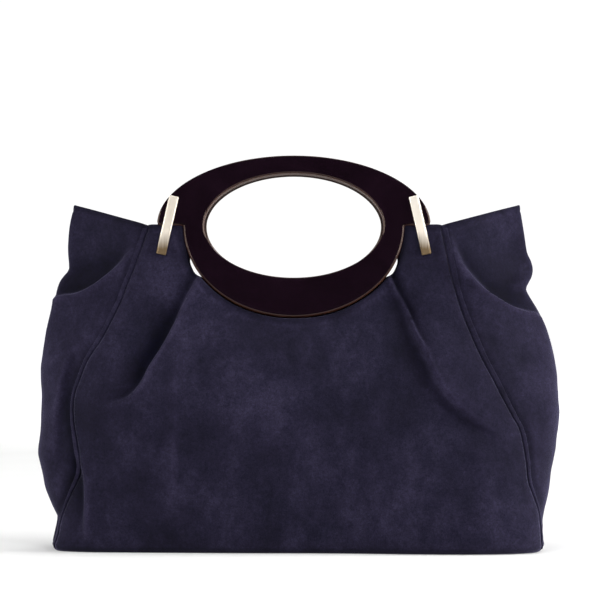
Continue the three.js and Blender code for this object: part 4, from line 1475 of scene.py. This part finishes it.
# Name, place, aim, size and power. The strips stand beside the direction in which the flat faces
# of the rings mirror the room.
LIGHTS = (
    ("right_light", (2.1, -0.3, 0.8), AT_BAG, (1.0, 1.8), 76),
    ("left_light", (-2.1, -0.45, 0.8), AT_BAG, (0.8, 1.4), 34),
    ("back_light", (0.5, 2.3, 1.7), AT_BAG, (1.6, 1.2), 26),
    ("top_light", (0, 0.1, 2.4), AT_BAG, (1.2, 1.2), 16),
    ("right_strip", (0.95, -1.95, 1.05), AT_HANDLES, (0.35, 0.8), 15),
    ("left_strip", (-0.95, -1.95, 1.0), AT_HANDLES, (0.35, 0.8), 10),
)


def build_floor():
    h = FLOOR_HALF
    mesh = bpy.data.meshes.new("floor")
    mesh.from_pydata([(-h, -h, 0), (h, -h, 0), (h, h, 0), (-h, h, 0)], [], [(0, 1, 2, 3)])
    piece = bpy.data.objects.new("floor", mesh)
    bpy.context.scene.collection.objects.link(piece)
    made = Nodes("pale_floor")
    pale = made.ramp(made.noise(6, 2, 0.5), (0.3, (0.72, 0.72, 0.715)), (0.7, (0.75, 0.75, 0.745)))
    made.set("Base Color", pale)
    made.set("Roughness", 0.9)
    made.set("Specular IOR Level", 0.0)
    made.set("Emission Color", (1.0, 1.0, 1.0, 1.0))
    away = made.node("ShaderNodeVectorMath", {0: made.place}, operation="LENGTH").outputs["Value"]
    glow = FLOOR_GLOW
    made.set("Emission Strength", made.to_range(away, glow["near"], glow["far"], glow["from"], glow["to"]))
    mesh.materials.append(made.material)


def build_lights():
    for name, place, target, size, power in LIGHTS:
        light = bpy.data.lights.new(name, "AREA")
        light.shape = "RECTANGLE"
        light.size, light.size_y = size
        light.energy = power
        lamp = bpy.data.objects.new(name, light)
        lamp.location = place
        direction = Vector(target) - Vector(place)
        lamp.rotation_euler = direction.to_track_quat("-Z", "Y").to_euler()
        bpy.context.scene.collection.objects.link(lamp)


def build_world():
    world = bpy.data.worlds.new("studio")
    bpy.context.scene.world = world
    world.use_nodes = True
    made = Nodes(world)
    inputs = {
        "From Min": WORLD["edge"], "From Max": WORLD["full"], "To Min": WORLD["front"],
        "To Max": WORLD["back"], "Value": made.split(made.place, "Y"),
    }
    strength = made.node("ShaderNodeMapRange", inputs, interpolation_type="SMOOTHSTEP").outputs["Result"]
    around = made.node("ShaderNodeBackground", {"Color": (1, 1, 1, 1), "Strength": strength})
    seen = made.node("ShaderNodeBackground", {"Color": (1, 1, 1, 1), "Strength": WORLD["seen"]})
    path = made.node("ShaderNodeLightPath").outputs["Is Camera Ray"]
    inputs = {0: path, 1: around.outputs["Background"], 2: seen.outputs["Background"]}
    mixed = made.node("ShaderNodeMixShader", inputs).outputs["Shader"]
    made.node("ShaderNodeOutputWorld", {"Surface": mixed})
    bpy.context.scene.view_settings.view_transform = "Standard"


build_shell()
build_welts()
build_lining()
build_pocket_cloth()
build_zip_tapes()
build_zip_chain()
build_base()
build_handles()
dress_cad_nodes()
build_floor()
build_lights()
build_world()
